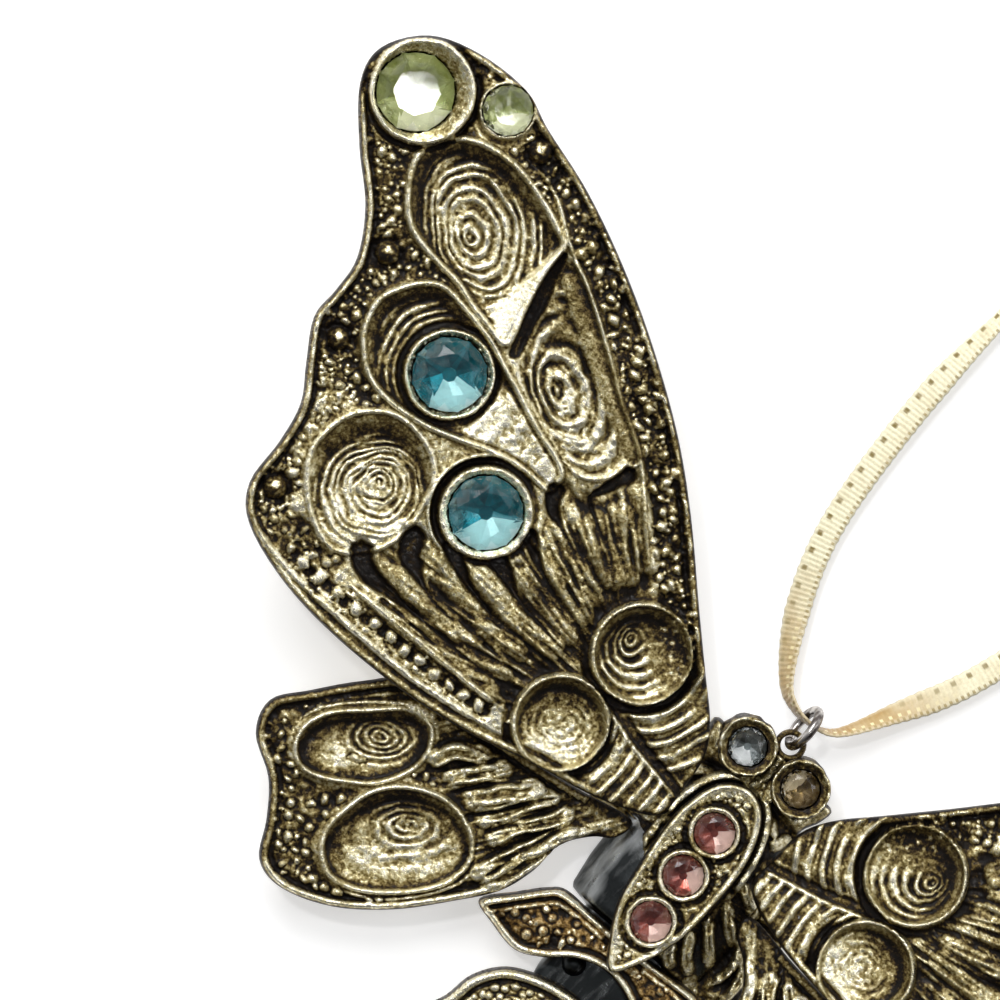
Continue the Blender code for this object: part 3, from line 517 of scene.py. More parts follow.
def lathe(name, profile, steps, centre=(0, 0, 0), closed=False):
    """(Radius, height) points in millimetres turned round Z. They run with the face on their left."""
    profile = np.asarray(profile[:-1] if closed else profile, float)
    turn = np.linspace(0, 2 * math.pi, steps, endpoint=False)
    ring = np.stack([np.cos(turn), np.sin(turn)], 1)
    points = np.concatenate([np.concatenate([ring * r, np.full((steps, 1), z)], 1) for r, z in profile])
    made = mesh_from(name, (points + np.array(centre)) * MM, sleeve(len(profile), steps, closed))
    shape = bmesh.new()
    shape.from_mesh(made)
    bmesh.ops.remove_doubles(shape, verts=shape.verts, dist=0.001 * MM)
    shape.to_mesh(made)
    shape.free()
    made.shade_smooth()
    return made


def tube(name, points, radii, sides, closed=False):
    """A round tube along points, with a radius at each, in millimetres."""
    points = np.asarray(points, float)
    count = len(points)
    radii = np.broadcast_to(np.asarray(radii, float), (count,))
    ahead = np.roll(points, -1, 0) if closed else np.vstack([points[1:], 2 * points[-1:] - points[-2:-1]])
    behind = np.roll(points, 1, 0) if closed else np.vstack([2 * points[:1] - points[1:2], points[:-1]])
    along = ahead - behind
    along /= np.linalg.norm(along, axis=1)[:, None]
    side = np.cross(along[0], (0.2, 0.1, 1.0))
    verts = []
    turn = np.linspace(0, 2 * math.pi, sides, endpoint=False)
    for p, t, r in zip(points, along, radii):
        side = side - (side @ t) * t
        side /= np.linalg.norm(side)
        up = np.cross(t, side)
        verts.append(p + r * (np.cos(turn)[:, None] * side + np.sin(turn)[:, None] * up))
    verts = np.concatenate(verts)
    tris = np.zeros((0, 3), int)
    if not closed:
        verts = np.vstack([verts, points[0], points[-1]])
        tris = lids(count, sides)
    return mesh_from(name, verts * MM, sleeve(count, sides, closed), tris)


def mirrored(mesh, name):
    made = mesh.copy()
    made.name = name
    made.transform(Matrix.Scale(-1, 4, (1, 0, 0)))
    made.flip_normals()
    return made


def wing_matrix(lift, tilt, side):
    return Matrix.Translation((0, 0, lift * MM)) @ Matrix.Rotation(math.radians(tilt * side), 4, "Y")


# Forewing
FOREWING_OUTLINE = [
    (-5.0, 6.0), (-6.5, 8.5), (-9.2, 11.2), (-13.0, 15.0), (-18.0, 20.1), (-23.0, 24.5), (-29.0, 28.7),
    (-35.0, 32.2), (-41.0, 35.0), (-46.5, 36.8), (-49.8, 38.1), (-54.5, 38.0), (-58.5, 36.6),
    (-60.9, 33.4), (-60.4, 30.2), (-57.3, 26.3), (-54.0, 23.0), (-51.9, 19.4), (-51.6, 16.4),
    (-51.6, 13.6), (-49.8, 10.4), (-48.1, 7.6), (-47.5, 4.2), (-47.3, 0.2), (-45.2, -2.4), (-40.0, -4.3),
    (-34.0, -5.1), (-27.0, -5.1), (-21.0, -4.4), (-15.5, -3.1), (-9.5, -2.0), (-4.8, 0.0), (-4.7, 3.0),
]
TOP_CELL = [
    (-53.3, 28.6), (-52.6, 30.8), (-50.4, 32.4), (-47.0, 32.9), (-43.6, 32.2), (-41.2, 31.2),
    (-39.7, 30.3), (-39.7, 28.0), (-39.3, 26.0), (-38.9, 24.0), (-38.4, 21.6), (-40.2, 21.7),
    (-42.4, 22.2), (-44.6, 22.9), (-47.2, 23.2), (-50.0, 23.9), (-52.0, 25.8),
]
TEARDROP_CELL = [
    (-39.2, 29.9), (-37.6, 29.7), (-35.8, 28.8), (-33.9, 27.6), (-32.0, 26.2), (-30.0, 24.8),
    (-28.0, 23.5), (-26.0, 22.4), (-24.3, 21.0), (-24.6, 19.6), (-25.6, 18.0), (-27.2, 16.9),
    (-29.0, 17.2), (-31.0, 17.9), (-34.0, 19.0), (-36.6, 20.4), (-37.9, 22.4), (-38.4, 25.0),
    (-39.2, 27.6),
]
COMMA_CELL = [
    (-48.5, 17.4), (-48.0, 19.2), (-46.6, 21.1), (-45.0, 21.9), (-42.6, 21.6), (-40.0, 21.0),
    (-37.4, 20.0), (-35.4, 19.2), (-32.4, 17.9), (-29.0, 16.7), (-28.2, 15.6), (-28.4, 14.6),
    (-31.0, 14.7), (-33.6, 14.3), (-36.6, 13.3), (-39.4, 12.5), (-42.8, 12.2), (-45.4, 12.8),
    (-47.6, 14.8),
]
ROUND_CELL = [
    (-45.2, 6.8), (-44.8, 8.8), (-43.6, 10.5), (-41.8, 11.6), (-39.6, 11.7), (-37.4, 10.9), (-36.0, 9.4),
    (-35.5, 7.4), (-35.2, 5.2), (-35.8, 3.0), (-37.0, 1.3), (-38.8, 0.3), (-40.8, 0.7), (-42.8, 2.0),
    (-44.4, 3.8), (-45.1, 5.3),
]
# The smooth wedge between the top cell and the teardrop.
WEDGE = [
    (-39.9, 30.3), (-40.2, 28.0), (-40.5, 26.0), (-40.7, 24.4), (-41.1, 23.0), (-40.0, 21.9),
    (-38.6, 21.2), (-38.8, 22.8), (-39.2, 24.8), (-39.5, 27.0), (-39.7, 29.0),
]
BAND_RIDGE = [
    (-47.0, 34.2), (-43.0, 33.2), (-39.6, 30.9), (-36.0, 28.9), (-32.2, 26.5), (-28.5, 23.9),
    (-24.2, 21.1), (-20.6, 17.2), (-17.6, 14.2),
]
GRAIN_FIELD = [
    (-24.0, 20.6), (-17.0, 13.8), (-18.8, 9.4), (-17.4, 5.4), (-20.2, 2.2), (-19.4, -1.2), (-38.4, -0.5),
    (-35.2, 3.2), (-34.6, 5.8), (-31.0, 6.0), (-27.4, 7.8), (-26.9, 11.8), (-28.4, 13.6), (-28.2, 15.6),
    (-26.4, 16.8), (-24.8, 18.2),
]
RIDGES = [
    [(-23.4, 19.4), (-21.5, 17.8), (-19.8, 16.2), (-18.0, 14.6)],
    [(-23.4, 17.3), (-21.8, 15.7), (-20.2, 14.3), (-18.6, 12.9)],
    [(-24.6, 15.7), (-23.0, 14.4), (-21.0, 13.1), (-19.2, 11.9)],
    [(-26.4, 14.8), (-24.4, 13.7), (-22.0, 12.4), (-19.8, 11.1)],
    [(-26.9, 12.7), (-24.5, 11.8), (-22.0, 10.8), (-19.4, 10.0)],
    [(-27.0, 10.8), (-25.0, 10.1), (-22.2, 9.1), (-19.0, 8.4)],
    [(-26.4, 8.2), (-24.2, 7.5), (-22.0, 7.0), (-19.2, 6.6)],
    [(-29.5, 6.1), (-27.4, 5.7), (-25.0, 5.3), (-22.0, 5.1), (-19.0, 5.1)],
    [(-33.2, 5.3), (-31.5, 4.4), (-29.0, 3.7), (-27.0, 3.2), (-24.0, 2.9), (-20.8, 3.0)],
    [(-34.9, 2.1), (-33.0, 1.9), (-30.0, 1.5), (-27.0, 1.3), (-24.0, 1.1), (-20.6, 1.0)],
    [(-35.4, -0.5), (-33.0, -0.6), (-30.4, -0.7), (-26.0, -0.6), (-23.0, -0.7), (-20.4, -0.8)],
]
# Valleys between them: the points, and the width and depth at the outer end.
VALLEYS = [
    ([(-24.2, 19.6), (-24.9, 17.6), (-25.4, 16.3), (-24.2, 15.3), (-22.0, 14.0)], 1.6, 0.9),
    ([(-27.9, 14.9), (-27.3, 13.8), (-25.6, 12.9), (-22.8, 11.8)], 1.8, 0.95),
    ([(-27.2, 10.8), (-26.0, 10.0), (-24.4, 9.1), (-21.4, 7.9)], 1.6, 0.95),
    ([(-27.8, 7.7), (-26.2, 7.0), (-24.6, 6.3), (-21.6, 5.9)], 1.8, 0.95),
    ([(-31.5, 6.2), (-30.3, 5.6), (-28.6, 4.8), (-26.4, 4.2), (-24.0, 3.6)], 1.7, 0.95),
    ([(-34.4, 4.9), (-33.9, 3.8), (-32.4, 2.9), (-30.0, 2.0), (-27.0, 1.7)], 2.6, 1.0),
    ([(-36.9, 1.5), (-36.2, 0.8), (-34.4, 0.4), (-30.0, 0.3), (-25.0, 0.1)], 2.4, 1.0),
    ([(-24.6, 1.9), (-22.4, 1.8), (-21.0, 1.6)], 0.6, 0.5),
    ([(-33.2, -0.5), (-30.0, -0.5), (-27.0, -0.7)], 0.7, 0.35),
]
# The dark gaps in the hind strip, with a square bead between each two.
HIND_GAPS = [
    (-40.9, -2.0), (-39.2, -2.2), (-37.2, -2.3), (-35.5, -2.4), (-33.3, -2.4), (-31.6, -2.3),
    (-30.0, -2.3), (-28.6, -2.4), (-27.2, -2.4), (-25.3, -2.4), (-24.1, -2.3), (-22.6, -2.3),
    (-21.3, -2.2),
]
CUP_D, CUP_E = (-14.3, 9.2), (-15.9, 0.85)
STEM_D = [
    (-12.8, 14.0), (-8.6, 12.4), (-5.6, 9.2), (-4.0, 6.0), (-3.9, 3.0), (-7.4, 3.1), (-10.4, 4.2),
    (-13.0, 5.0),
]
STEM_E = [
    (-13.0, 3.7), (-10.2, 3.0), (-7.4, 2.2), (-3.9, 1.9), (-3.9, -0.4), (-6.6, -1.9), (-9.6, -2.6),
    (-13.0, -2.9),
]
TIP_STONE_AT, TIP_STONE = (-56.6, 32.4), 3.15
SMALL_STONE_AT, SMALL_STONE = (-50.0, 35.9), 2.0
BLUE_STONES_AT, BLUE_STONE = [(-40.4, 16.8), (-31.2, 10.1)], 3.0
# The seats' places: above the wing's lower plane, and below the tops of the plaque and the eye cups.
STONE_SEAT, PLAQUE_SEAT, EYE_SEAT = 0.75, 0.5, 1.3
STONE_LIFT = 0.12       # how far the cut stones are raised from their seats
POCKET_FLOOR = 0.34


def forewing_relief():
    r = Relief(smooth(FOREWING_OUTLINE), 0.125, PLATE)
    cells = {name: smooth(points) for name, points in
             (("top", TOP_CELL), ("drop", TEARDROP_CELL), ("comma", COMMA_CELL), ("round", ROUND_CELL))}
    r.rough(0.06)
    forewing_bands(r, cells)
    forewing_grain(r)
    forewing_cells(r, cells)
    forewing_root(r)
    forewing_edges(r)
    forewing_cups(r)
    r.h = np.clip(r.h, 0.2, PLATE + 1.05)
    r.roll_edge(0.4, 0.3)
    return r


def forewing_bands(r, cells):
    """Granulation along the leading edge, the left border and the hind edge."""
    leading = curve(FOREWING_OUTLINE[1:11])
    from_leading = r.distance(leading, reach=5.0)
    from_ridge = r.distance(curve(BAND_RIDGE), reach=3.0)
    clear = np.ones(r.X.shape, bool)
    for cell in cells.values():
        clear &= r.signed(cell, 3.0) < -0.45
    for (x, y), room in ((TIP_STONE_AT, 4.6), (SMALL_STONE_AT, 2.9), (BLUE_STONES_AT[1], 4.7)):
        clear &= r.far(x, y) > room
    band = (from_leading < 3.1) & (r.edge > 0.5) & (from_ridge > 0.35) & (r.X > -48.0) & (r.X < -10.5) & clear
    border = clear & (r.edge > 0.6) & (r.Y > -1.4) & ((r.X < -43.8) | (r.X < -42.5) & (r.Y > 11))
    calm = ramp(r.X, -48.5, -46.8) * ramp(r.Y, 3.6, 4.8) * fall(r.Y, 9.5, 11.0)
    hind = clear & (r.edge > 1.1) & (r.X > -46) & (r.X < -37.5) & (r.Y < 0.6)
    soft = r.soft(band | border | hind, 0.2)
    r.h -= 0.3 * soft * (1 - 0.6 * calm)
    high_left = r.soft(border & (r.Y > 11), 0.3)
    on_band = r.soft(band, 0.3)
    r.darkening_and_painted_light += 0.08 * soft * (1 - 1.6 * calm) + 0.17 * on_band + 0.16 * high_left
    r.film += 0.18 * on_band + 0.1 * soft
    # Hollows between the groups of grains.
    r.h -= 0.34 * on_band * ramp(r.noise(1.5, 17), 0.1, 0.6)
    r.h += 0.13 * soft * r.noise(0.55, 18) + 0.09 * soft * r.noise(0.3, 19)
    # Most of these grains get a painted highlight on the side toward the picture's top.
    r.nuggets(band, 0.66, 0.28, seed=6, gaps=0.3, rise=0.7, painted_shine=0.6)
    r.nuggets(band, 1.12, 0.58, seed=3, gaps=0.12, rise=0.75, painted_shine=0.8)
    r.nuggets(border & (calm < 0.4), 0.66, 0.28, seed=7, gaps=0.25, rise=0.65, painted_shine=0.4)
    r.nuggets(border & (calm < 0.4), 1.1, 0.46, seed=4, gaps=0.25, rise=0.8, painted_shine=0.6)
    r.nuggets(border & (calm >= 0.4), 0.8, 0.36, seed=5, gaps=0.4, rise=0.35)
    r.nuggets(hind, 1.05, 0.46, seed=9, gaps=0.2, rise=0.75)


def forewing_grain(r):
    """Long rough ridges with wedge-shaped pits at their outer ends, between the cells and the root cups."""
    soft = r.soft(r.inside(GRAIN_FIELD), 0.3)
    r.h -= 0.24 * soft
    r.cords(RIDGES, (1.9, 2.4), (0.44, 0.66), (), 8)
    turn = np.arctan2(r.Y - 4.0, r.X + 8.0) + math.pi
    away = r.far(-8.0, 4.0)
    r.streaks(soft, away, turn * 17.0, 0.4, 0.16, 15)
    r.hairs(soft, away, turn * 17.0, 0.75, 0.26, 116)
    r.h += soft * (0.05 * r.noise(0.9, 16) + 0.05 * r.noise(0.36, 14))
    r.film += 0.12 * soft
    r.darkening_and_painted_light += 0.14 * soft
    for points, width, depth in VALLEYS:
        r.valley(points, (width, 0.7 * width, 0.35, 0.3), (depth, 0.85 * depth, 0.3, 0.12), (0, 0.25, 0.5, 1))
    r.darkening_and_painted_light += 0.12 * soft * ramp(r.noise(2.6, 23), -0.6, 0.6)


def forewing_cells(r, cells):
    """A thin bright rim round each cell, a dish inside it, and growth lines on the dish."""
    floors = {}
    bowls = {"top": (0.5, 1.4), "drop": (0.4, 1.0), "comma": (0.5, 1.3), "round": (0.42, 2.0)}
    for name, (depth, wide) in bowls.items():
        floors[name] = r.bowl(cells[name], depth, wide)
    r.ovals(floors["top"], (-46.0, 26.3), 1.45, -38,
            (0.0, 0.5, 1.15, 2.0, 2.45, 3.2, 3.6, 4.3, 4.75, 5.4), 0.28, drift=(0.06, 0.2),
            wander=0.17, seed=21)
    r.ovals(floors["drop"], (-32.9, 21.2), 1.75, -35, (0.0, 0.8, 1.75, 2.7, 3.6, 4.5, 5.4), 0.36,
            drift=(0.2, 0.25), wander=0.18, hair=0.08, seed=31)
    tail = floors["comma"] * ramp(r.X, -37.0, -35.8)
    r.ovals(floors["comma"] - tail, BLUE_STONES_AT[0], 1.0, 0,
            (3.0, 3.75, 4.4, 5.0, 5.7, 6.6, 7.6), 0.26, seed=41)
    r.ovals(floors["round"], (-39.3, 6.7), 1.0, 0,
            (0.0, 0.45, 1.1, 1.45, 2.1, 2.45, 3.2, 3.55, 4.2, 5.0, 5.5, 6.2), 0.22, drift=(0.08, -0.2),
            wander=0.2, hair=0.09, seed=51)
    lower = fall(r.up(-40.1, 6.2), -3.8, -1.2)
    r.h += 0.14 * lower * floors["round"]
    arcs = 0.5 + 0.5 * np.cos(2 * math.pi * r.far(-44.0, 15.4) / 1.55)
    r.h += tail * (0.34 + 0.07 * (arcs ** 1.5 - 0.4) + 0.02 * r.noise(0.3, 62))
    r.darkening_and_painted_light += 0.04 * tail
    for name, worn in (("top", 0.16), ("drop", 0.05), ("round", 0.12), ("comma", 0.08)):
        r.h += 0.03 * floors[name] * r.noise(0.3, 63)
        r.darkening_and_painted_light -= worn * floors[name]
    # Beyond the ring lines the teardrop's upper wall is a smooth olive band.
    upper = curve([(-37.4, 28.6), (-34.0, 26.5), (-31.0, 24.6), (-28.0, 22.8), (-25.0, 21.2)])
    band = r.distance(upper, reach=2.0)
    olive = fall(band, 0.7, 1.05)
    r.h = r.h * (1 - olive) + olive * (PLATE - 0.18 + 0.03 * r.noise(1.1, 64) + 0.2 * (0.6 - band))
    r.darkening_and_painted_light += 0.12 * olive
    r.film += 0.5 * olive
    # A black slot runs down the teardrop's left side, under the wedge.
    r.valley([(-39.3, 29.8), (-38.9, 27.6), (-38.3, 25.2), (-37.7, 22.8), (-37.4, 21.4)],
             (0.8, 1.7, 1.3), (0.5, 0.75, 0.45), (0, 0.4, 1))
    for name, height, width in (("top", 0.46, 0.6), ("comma", 0.44, 0.55), ("round", 0.26, 0.5)):
        r.ridge(cells[name], width, height, closed=True)
    r.ridge(cells["drop"][: len(cells["drop"]) // 2], 0.4, 0.3, taper=0.1)
    edge = curve([(-25.0, 20.6), (-24.9, 19.4), (-25.6, 18.2), (-27.0, 17.3), (-29.0, 17.2)])
    r.ridge(edge, 0.7, 0.3, taper=0.2)
    wedge = r.within(smooth(WEDGE, 4), 0.35)
    leaning = 0.32 * (r.X + 39.6 + 0.16 * (r.Y - 25.0)) + 0.03 * r.noise(1.4, 66)
    r.h = r.h * (1 - wedge) + (PLATE + 0.26 + np.clip(leaning, -0.5, 0.2)) * wedge
    r.darkening_and_painted_light -= 0.6 * wedge


def forewing_root(r):
    """Two root cups, and the ribbed stems that lead from them to the body."""
    for stem, centre, ribs, seed in ((STEM_D, (-14.2, 9.0), (5.0, 6.1, 7.2, 8.35, 9.5), 71),
                                     (STEM_E, (-16.4, 0.9), (4.75, 5.75, 6.8, 7.9, 9.0, 10.1, 11.2), 75)):
        inside = r.signed(stem, 3.0)
        mask = ramp(inside, -0.45, 0.45)
        far = r.far(*centre) + 0.12 * r.noise(1.6, seed)
        turn = np.arctan2(r.Y - centre[1], r.X - centre[0]) + math.pi
        r.h += mask * (0.3 * ramp(inside, 0, 1.3) - 0.42)
        r.darkening_and_painted_light += 0.1 * mask
        r.streaks(mask, turn * far, far, 0.3, 0.05, seed + 1)
        for k, place in enumerate(ribs):
            bump = near(far - place, 0.08, 0.34) * np.clip(0.8 + 0.9 * r.noise(1.5, seed + 2), 0.1, 1.2)
            r.h += mask * (0.42 - 0.03 * k) * bump
            r.darkening_and_painted_light -= 0.3 * mask * bump
    r.valley([(-13.8, 4.9), (-10.4, 3.7), (-7.0, 2.9), (-4.8, 2.4)], (1.5, 1.1), (0.6, 0.5))
    r.valley([(-12.6, -2.9), (-9.4, -2.2), (-7.0, -1.3), (-5.2, -0.4)], (0.6, 0.6), (0.4, 0.4))
    for (x, y), radius, wall in ((CUP_D, 4.05, 1.0), (CUP_E, 3.85, 0.8)):
        hoop = circle(x, y, radius)
        inside = r.far(x, y)
        below = fall(r.up(x, y) / radius, -0.5, 0.3)
        r.h -= (0.1 + 0.45 * below) * near(inside - radius - 0.55, 0.1, 0.5)
        r.h = np.where(inside < radius, r.base + 0.3 + 0.03 * r.noise(0.8, 5), r.h)
        floor = r.bowl(hoop, 0.62, wall + 0.35, 0.45, sag=0.32)
        r.ridge(hoop, 0.5, 0.5, closed=True)
        if radius > 4:
            lower_left = ramp(-0.5 * (r.X + 15.6) - 0.87 * (r.Y - 9.8), -0.9, 0.9)
            r.ovals(floor * (0.12 + 0.88 * lower_left), (-15.9, 9.5), 1.0, 0,
                    (0.0, 0.45, 1.05, 1.7, 2.35, 3.0, 3.7), 0.34, drift=(0.4, -0.12), wander=0.2, seed=81)
            r.h += 0.04 * floor * r.noise(0.35, 85)
            r.darkening_and_painted_light += 0.1 * floor * (1 - lower_left)
        else:
            r.ovals(floor, (-15.7, 0.7), 1.15, 30, (0.0, 0.7, 1.3, 1.9, 2.5, 3.2), 0.06, wander=0.2, seed=83)
            r.h += 0.03 * floor * r.noise(0.3, 84)
            r.darkening_and_painted_light -= 0.08 * floor
    for points, widths, depths in (
            ([(-10.3, 10.6), (-10.0, 9.0), (-10.3, 7.4), (-11.4, 5.8)], (0.5, 1.0, 0.4), (0.4, 0.8, 0.3)),
            ([(-12.6, 3.4), (-12.0, 1.8), (-12.0, 0.0), (-12.7, -1.8)], (0.4, 0.7, 0.4), (0.3, 0.6, 0.3))):
        r.valley(points, widths, depths, (0, 0.5, 1))


def forewing_edges(r):
    """The rim wire, the ridge inside the granulated band, the hind strip and its beads, and the studs."""
    r.ridge(curve(BAND_RIDGE), 0.38, 0.36, taper=0.08)
    hind_middle = curve([(-41.0, -1.9), (-36.0, -2.4), (-30.0, -2.6), (-25.0, -2.6), (-20.0, -2.2)])
    hind_strip = fall(r.distance(hind_middle, reach=2.5), 0.9, 1.4)
    r.darkening_and_painted_light -= 0.14 * hind_strip
    r.nuggets(hind_strip > 0.5, 0.85, 0.3, seed=27, gaps=0.45, rise=0.6)
    r.h += hind_strip * (0.05 * r.noise(0.6, 24) + 0.05 * r.noise(0.3, 25))
    hind = curve([(-46.0, -1.2), (-44.4, -2.2), (-40.0, -3.3), (-34.0, -3.7), (-27.0, -3.8), (-20.0, -3.0)])
    r.ridge(hind, 0.6, 0.28, taper=0.1)
    inner = curve([(-36.4, -1.1), (-33.0, -1.2), (-29.0, -1.2), (-24.0, -1.3), (-20.0, -1.2)])
    r.ridge(inner, 0.55, 0.4, taper=0.1)
    for x, y in HIND_GAPS:
        r.groove_dot(x, y, 0.7, 0.2)
        r.groove_dot(x, y - 0.1, 0.45, 0.14)
    for (x, y), (x2, y2) in zip(HIND_GAPS, HIND_GAPS[1:]):
        r.nugget((x + x2) / 2, (y + y2) / 2 + 0.12 * math.sin(3 * x), min(0.6, 0.45 * (x2 - x)), 0.8, x, 0.5)
    faint = 0.5 + 0.5 * ramp(r.noise(5.0, 19), -0.5, 0.3)
    off_leading = 1 - 0.7 * fall(r.distance(curve(FOREWING_OUTLINE[2:9]), reach=3.0), 0.5, 1.2)
    by_hind = 0.35 + 0.65 * ramp(np.hypot(np.maximum(r.Y + 4.2, 0), np.maximum(-44.0 - r.X, 0)), 0.5, 2.5)
    by_root = fall(r.X, -13.5, -9.5)
    faint = faint * (0.75 + 0.5 * r.noise(0.6, 26)) * by_root
    r.raise_to(0.30 * faint * off_leading * by_hind * round_top((r.edge - 0.36) / 0.28))
    r.h -= 0.26 * near(r.edge - 0.82, 0.08, 0.32) * (0.3 + 0.7 * off_leading) * by_hind * by_root
    r.darkening_and_painted_light += 0.4 * fall(r.edge, 0.12, 0.42) + 0.1 * fall(r.edge, 0.5, 1.0)
    line = near(r.edge - 0.42, 0.05, 0.16) * by_root
    dashes = ramp(r.noise(0.7, 29) + 0.4 * r.noise(0.3, 30), -0.25, 0.2)
    left = fall(r.X, -51.0, -48.5) * ramp(r.Y, 8.0, 11.0)
    leading = (1 - off_leading) / 0.7
    r.h += 0.12 * line * leading * (dashes - 0.5)
    r.darkening_and_painted_light -= line * np.maximum(0.8 * leading * dashes, 0.4 * left)
    r.darkening_and_painted_light += 0.26 * fall(r.edge, 0.6, 0.95) * leading
    # The studs are darker round about, with a painted highlight on the side toward the picture's top.
    for x, y in ((-45.9, 35.0), (-50.3, 21.2), (-49.0, 13.5), (-45.5, 1.2)):
        r.groove_dot(x, y, 1.7, 0.42)
        r.bead(x, y, 0.95, 0.9)
        away = r.far(x, y)
        r.darkening_and_painted_light += 0.25 * fall(away, 0.6, 1.6) + 0.34 * fall(away, 0.7, 1.0)
        r.painted_glint(x, y, 0.42, 1.1)


def forewing_cups(r):
    """The stones' cups: the large one at the tip has a wide slope, which lies off the stone's centre."""
    upper, lower = BLUE_STONES_AT
    r.cup(*TIP_STONE_AT, TIP_STONE, POCKET_FLOOR, 3.95, 0.32, 0.95, shift=(0.4, 0.4), moat=0.45)
    from_tip = r.far(*TIP_STONE_AT)
    from_crest = np.hypot(r.X - TIP_STONE_AT[0] - 0.4, r.Y - TIP_STONE_AT[1] - 0.4)
    r.darkening_and_painted_light += 0.22 * fall(from_tip, 3.6, 4.2) - 0.4 * near(from_crest - 4.12, 0.12, 0.36)
    r.h += 0.06 * (from_tip > TIP_STONE + 0.1) * fall(from_tip, 4.0, 4.4) * r.noise(0.6, 89)
    r.cup(*SMALL_STONE_AT, SMALL_STONE, POCKET_FLOOR, 2.12, 0.18, 0.3)
    r.cup(*upper, BLUE_STONE, POCKET_FLOOR, 3.45, 0.22, 0.4)
    r.groove(circle(*upper, 3.2), 0.26, 0.34, closed=True)
    from_lower = r.far(*lower)
    r.h -= 0.6 * near(from_lower - 4.15, 0.1, 0.5) * fall(r.X, -33.5, -31.5)
    r.cup(*lower, BLUE_STONE, POCKET_FLOOR, 3.5, 0.3, 0.42)
    on_seat = (from_lower > BLUE_STONE + 0.06) * fall(from_lower, 3.6, 3.9)
    r.h += on_seat * (0.07 * r.noise(0.4, 88) + 0.05 * r.noise(0.25, 87))
    r.darkening_and_painted_light -= 0.1 * on_seat
    r.ridge(circle(*lower, 4.6)[14:38], 0.36, 0.4, taper=0.15)


# Hindwing
HINDWING_OUTLINE = [
    (-6.3, -1.7), (-12.0, -2.6), (-20.0, -3.4), (-27.0, -4.0), (-30.2, -6.6), (-33.0, -9.8),
    (-35.0, -12.4), (-34.2, -15.2), (-31.2, -17.3), (-29.2, -20.0), (-27.6, -22.9), (-24.8, -23.6),
    (-20.6, -22.2), (-16.6, -19.3), (-13.4, -15.9), (-10.9, -12.8), (-9.8, -9.8), (-9.5, -7.0),
    (-7.9, -4.8), (-6.3, -3.6),
]
CELL_F = [
    (-25.9, -6.0), (-24.0, -5.8), (-22.8, -7.0), (-22.5, -8.8), (-23.1, -10.6), (-24.3, -12.3),
    (-26.0, -13.5), (-28.0, -14.6), (-29.8, -14.9), (-31.2, -13.9), (-31.5, -12.0), (-30.5, -10.0),
    (-28.4, -8.1),
]
CELL_G = [
    (-24.8, -15.5), (-24.2, -13.3), (-22.8, -11.5), (-20.6, -10.2), (-18.2, -9.8), (-15.8, -10.6),
    (-14.5, -12.2), (-14.5, -14.2), (-15.6, -16.2), (-17.6, -18.2), (-20.0, -19.8), (-22.4, -20.3),
    (-24.2, -19.2), (-25.0, -17.4),
]
HINDWING_RIBS = [
    [(-22.0, -8.4), (-21.0, -6.6), (-19.4, -5.4), (-18.4, -4.6)],
    [(-20.0, -8.7), (-18.6, -7.0), (-17.2, -5.6), (-16.4, -4.6)],
    [(-17.8, -9.0), (-16.6, -7.6), (-15.0, -5.8), (-13.4, -4.2)],
    [(-16.0, -9.6), (-14.6, -7.4), (-13.6, -5.8), (-12.2, -3.9)],
    [(-14.4, -10.4), (-13.4, -8.3), (-11.6, -6.0), (-10.6, -3.8)],
    [(-13.6, -13.6), (-12.4, -10.9), (-11.0, -7.8), (-9.4, -4.4)],
    [(-12.4, -14.4), (-11.3, -11.4), (-10.4, -8.7), (-9.3, -6.0), (-8.0, -4.2)],
]
HINDWING_SLOTS = [
    [(-20.9, -8.4), (-19.4, -6.4), (-17.8, -4.9)], [(-19.0, -9.0), (-17.2, -6.9), (-15.2, -5.0)],
    [(-16.8, -9.8), (-15.0, -7.6), (-13.2, -5.2), (-12.4, -4.4)],
    [(-14.8, -9.8), (-13.0, -7.0), (-11.4, -4.6)], [(-13.8, -12.0), (-12.2, -8.8), (-10.6, -5.6)],
    [(-12.6, -12.4), (-11.4, -9.6), (-10.2, -6.8)],
]


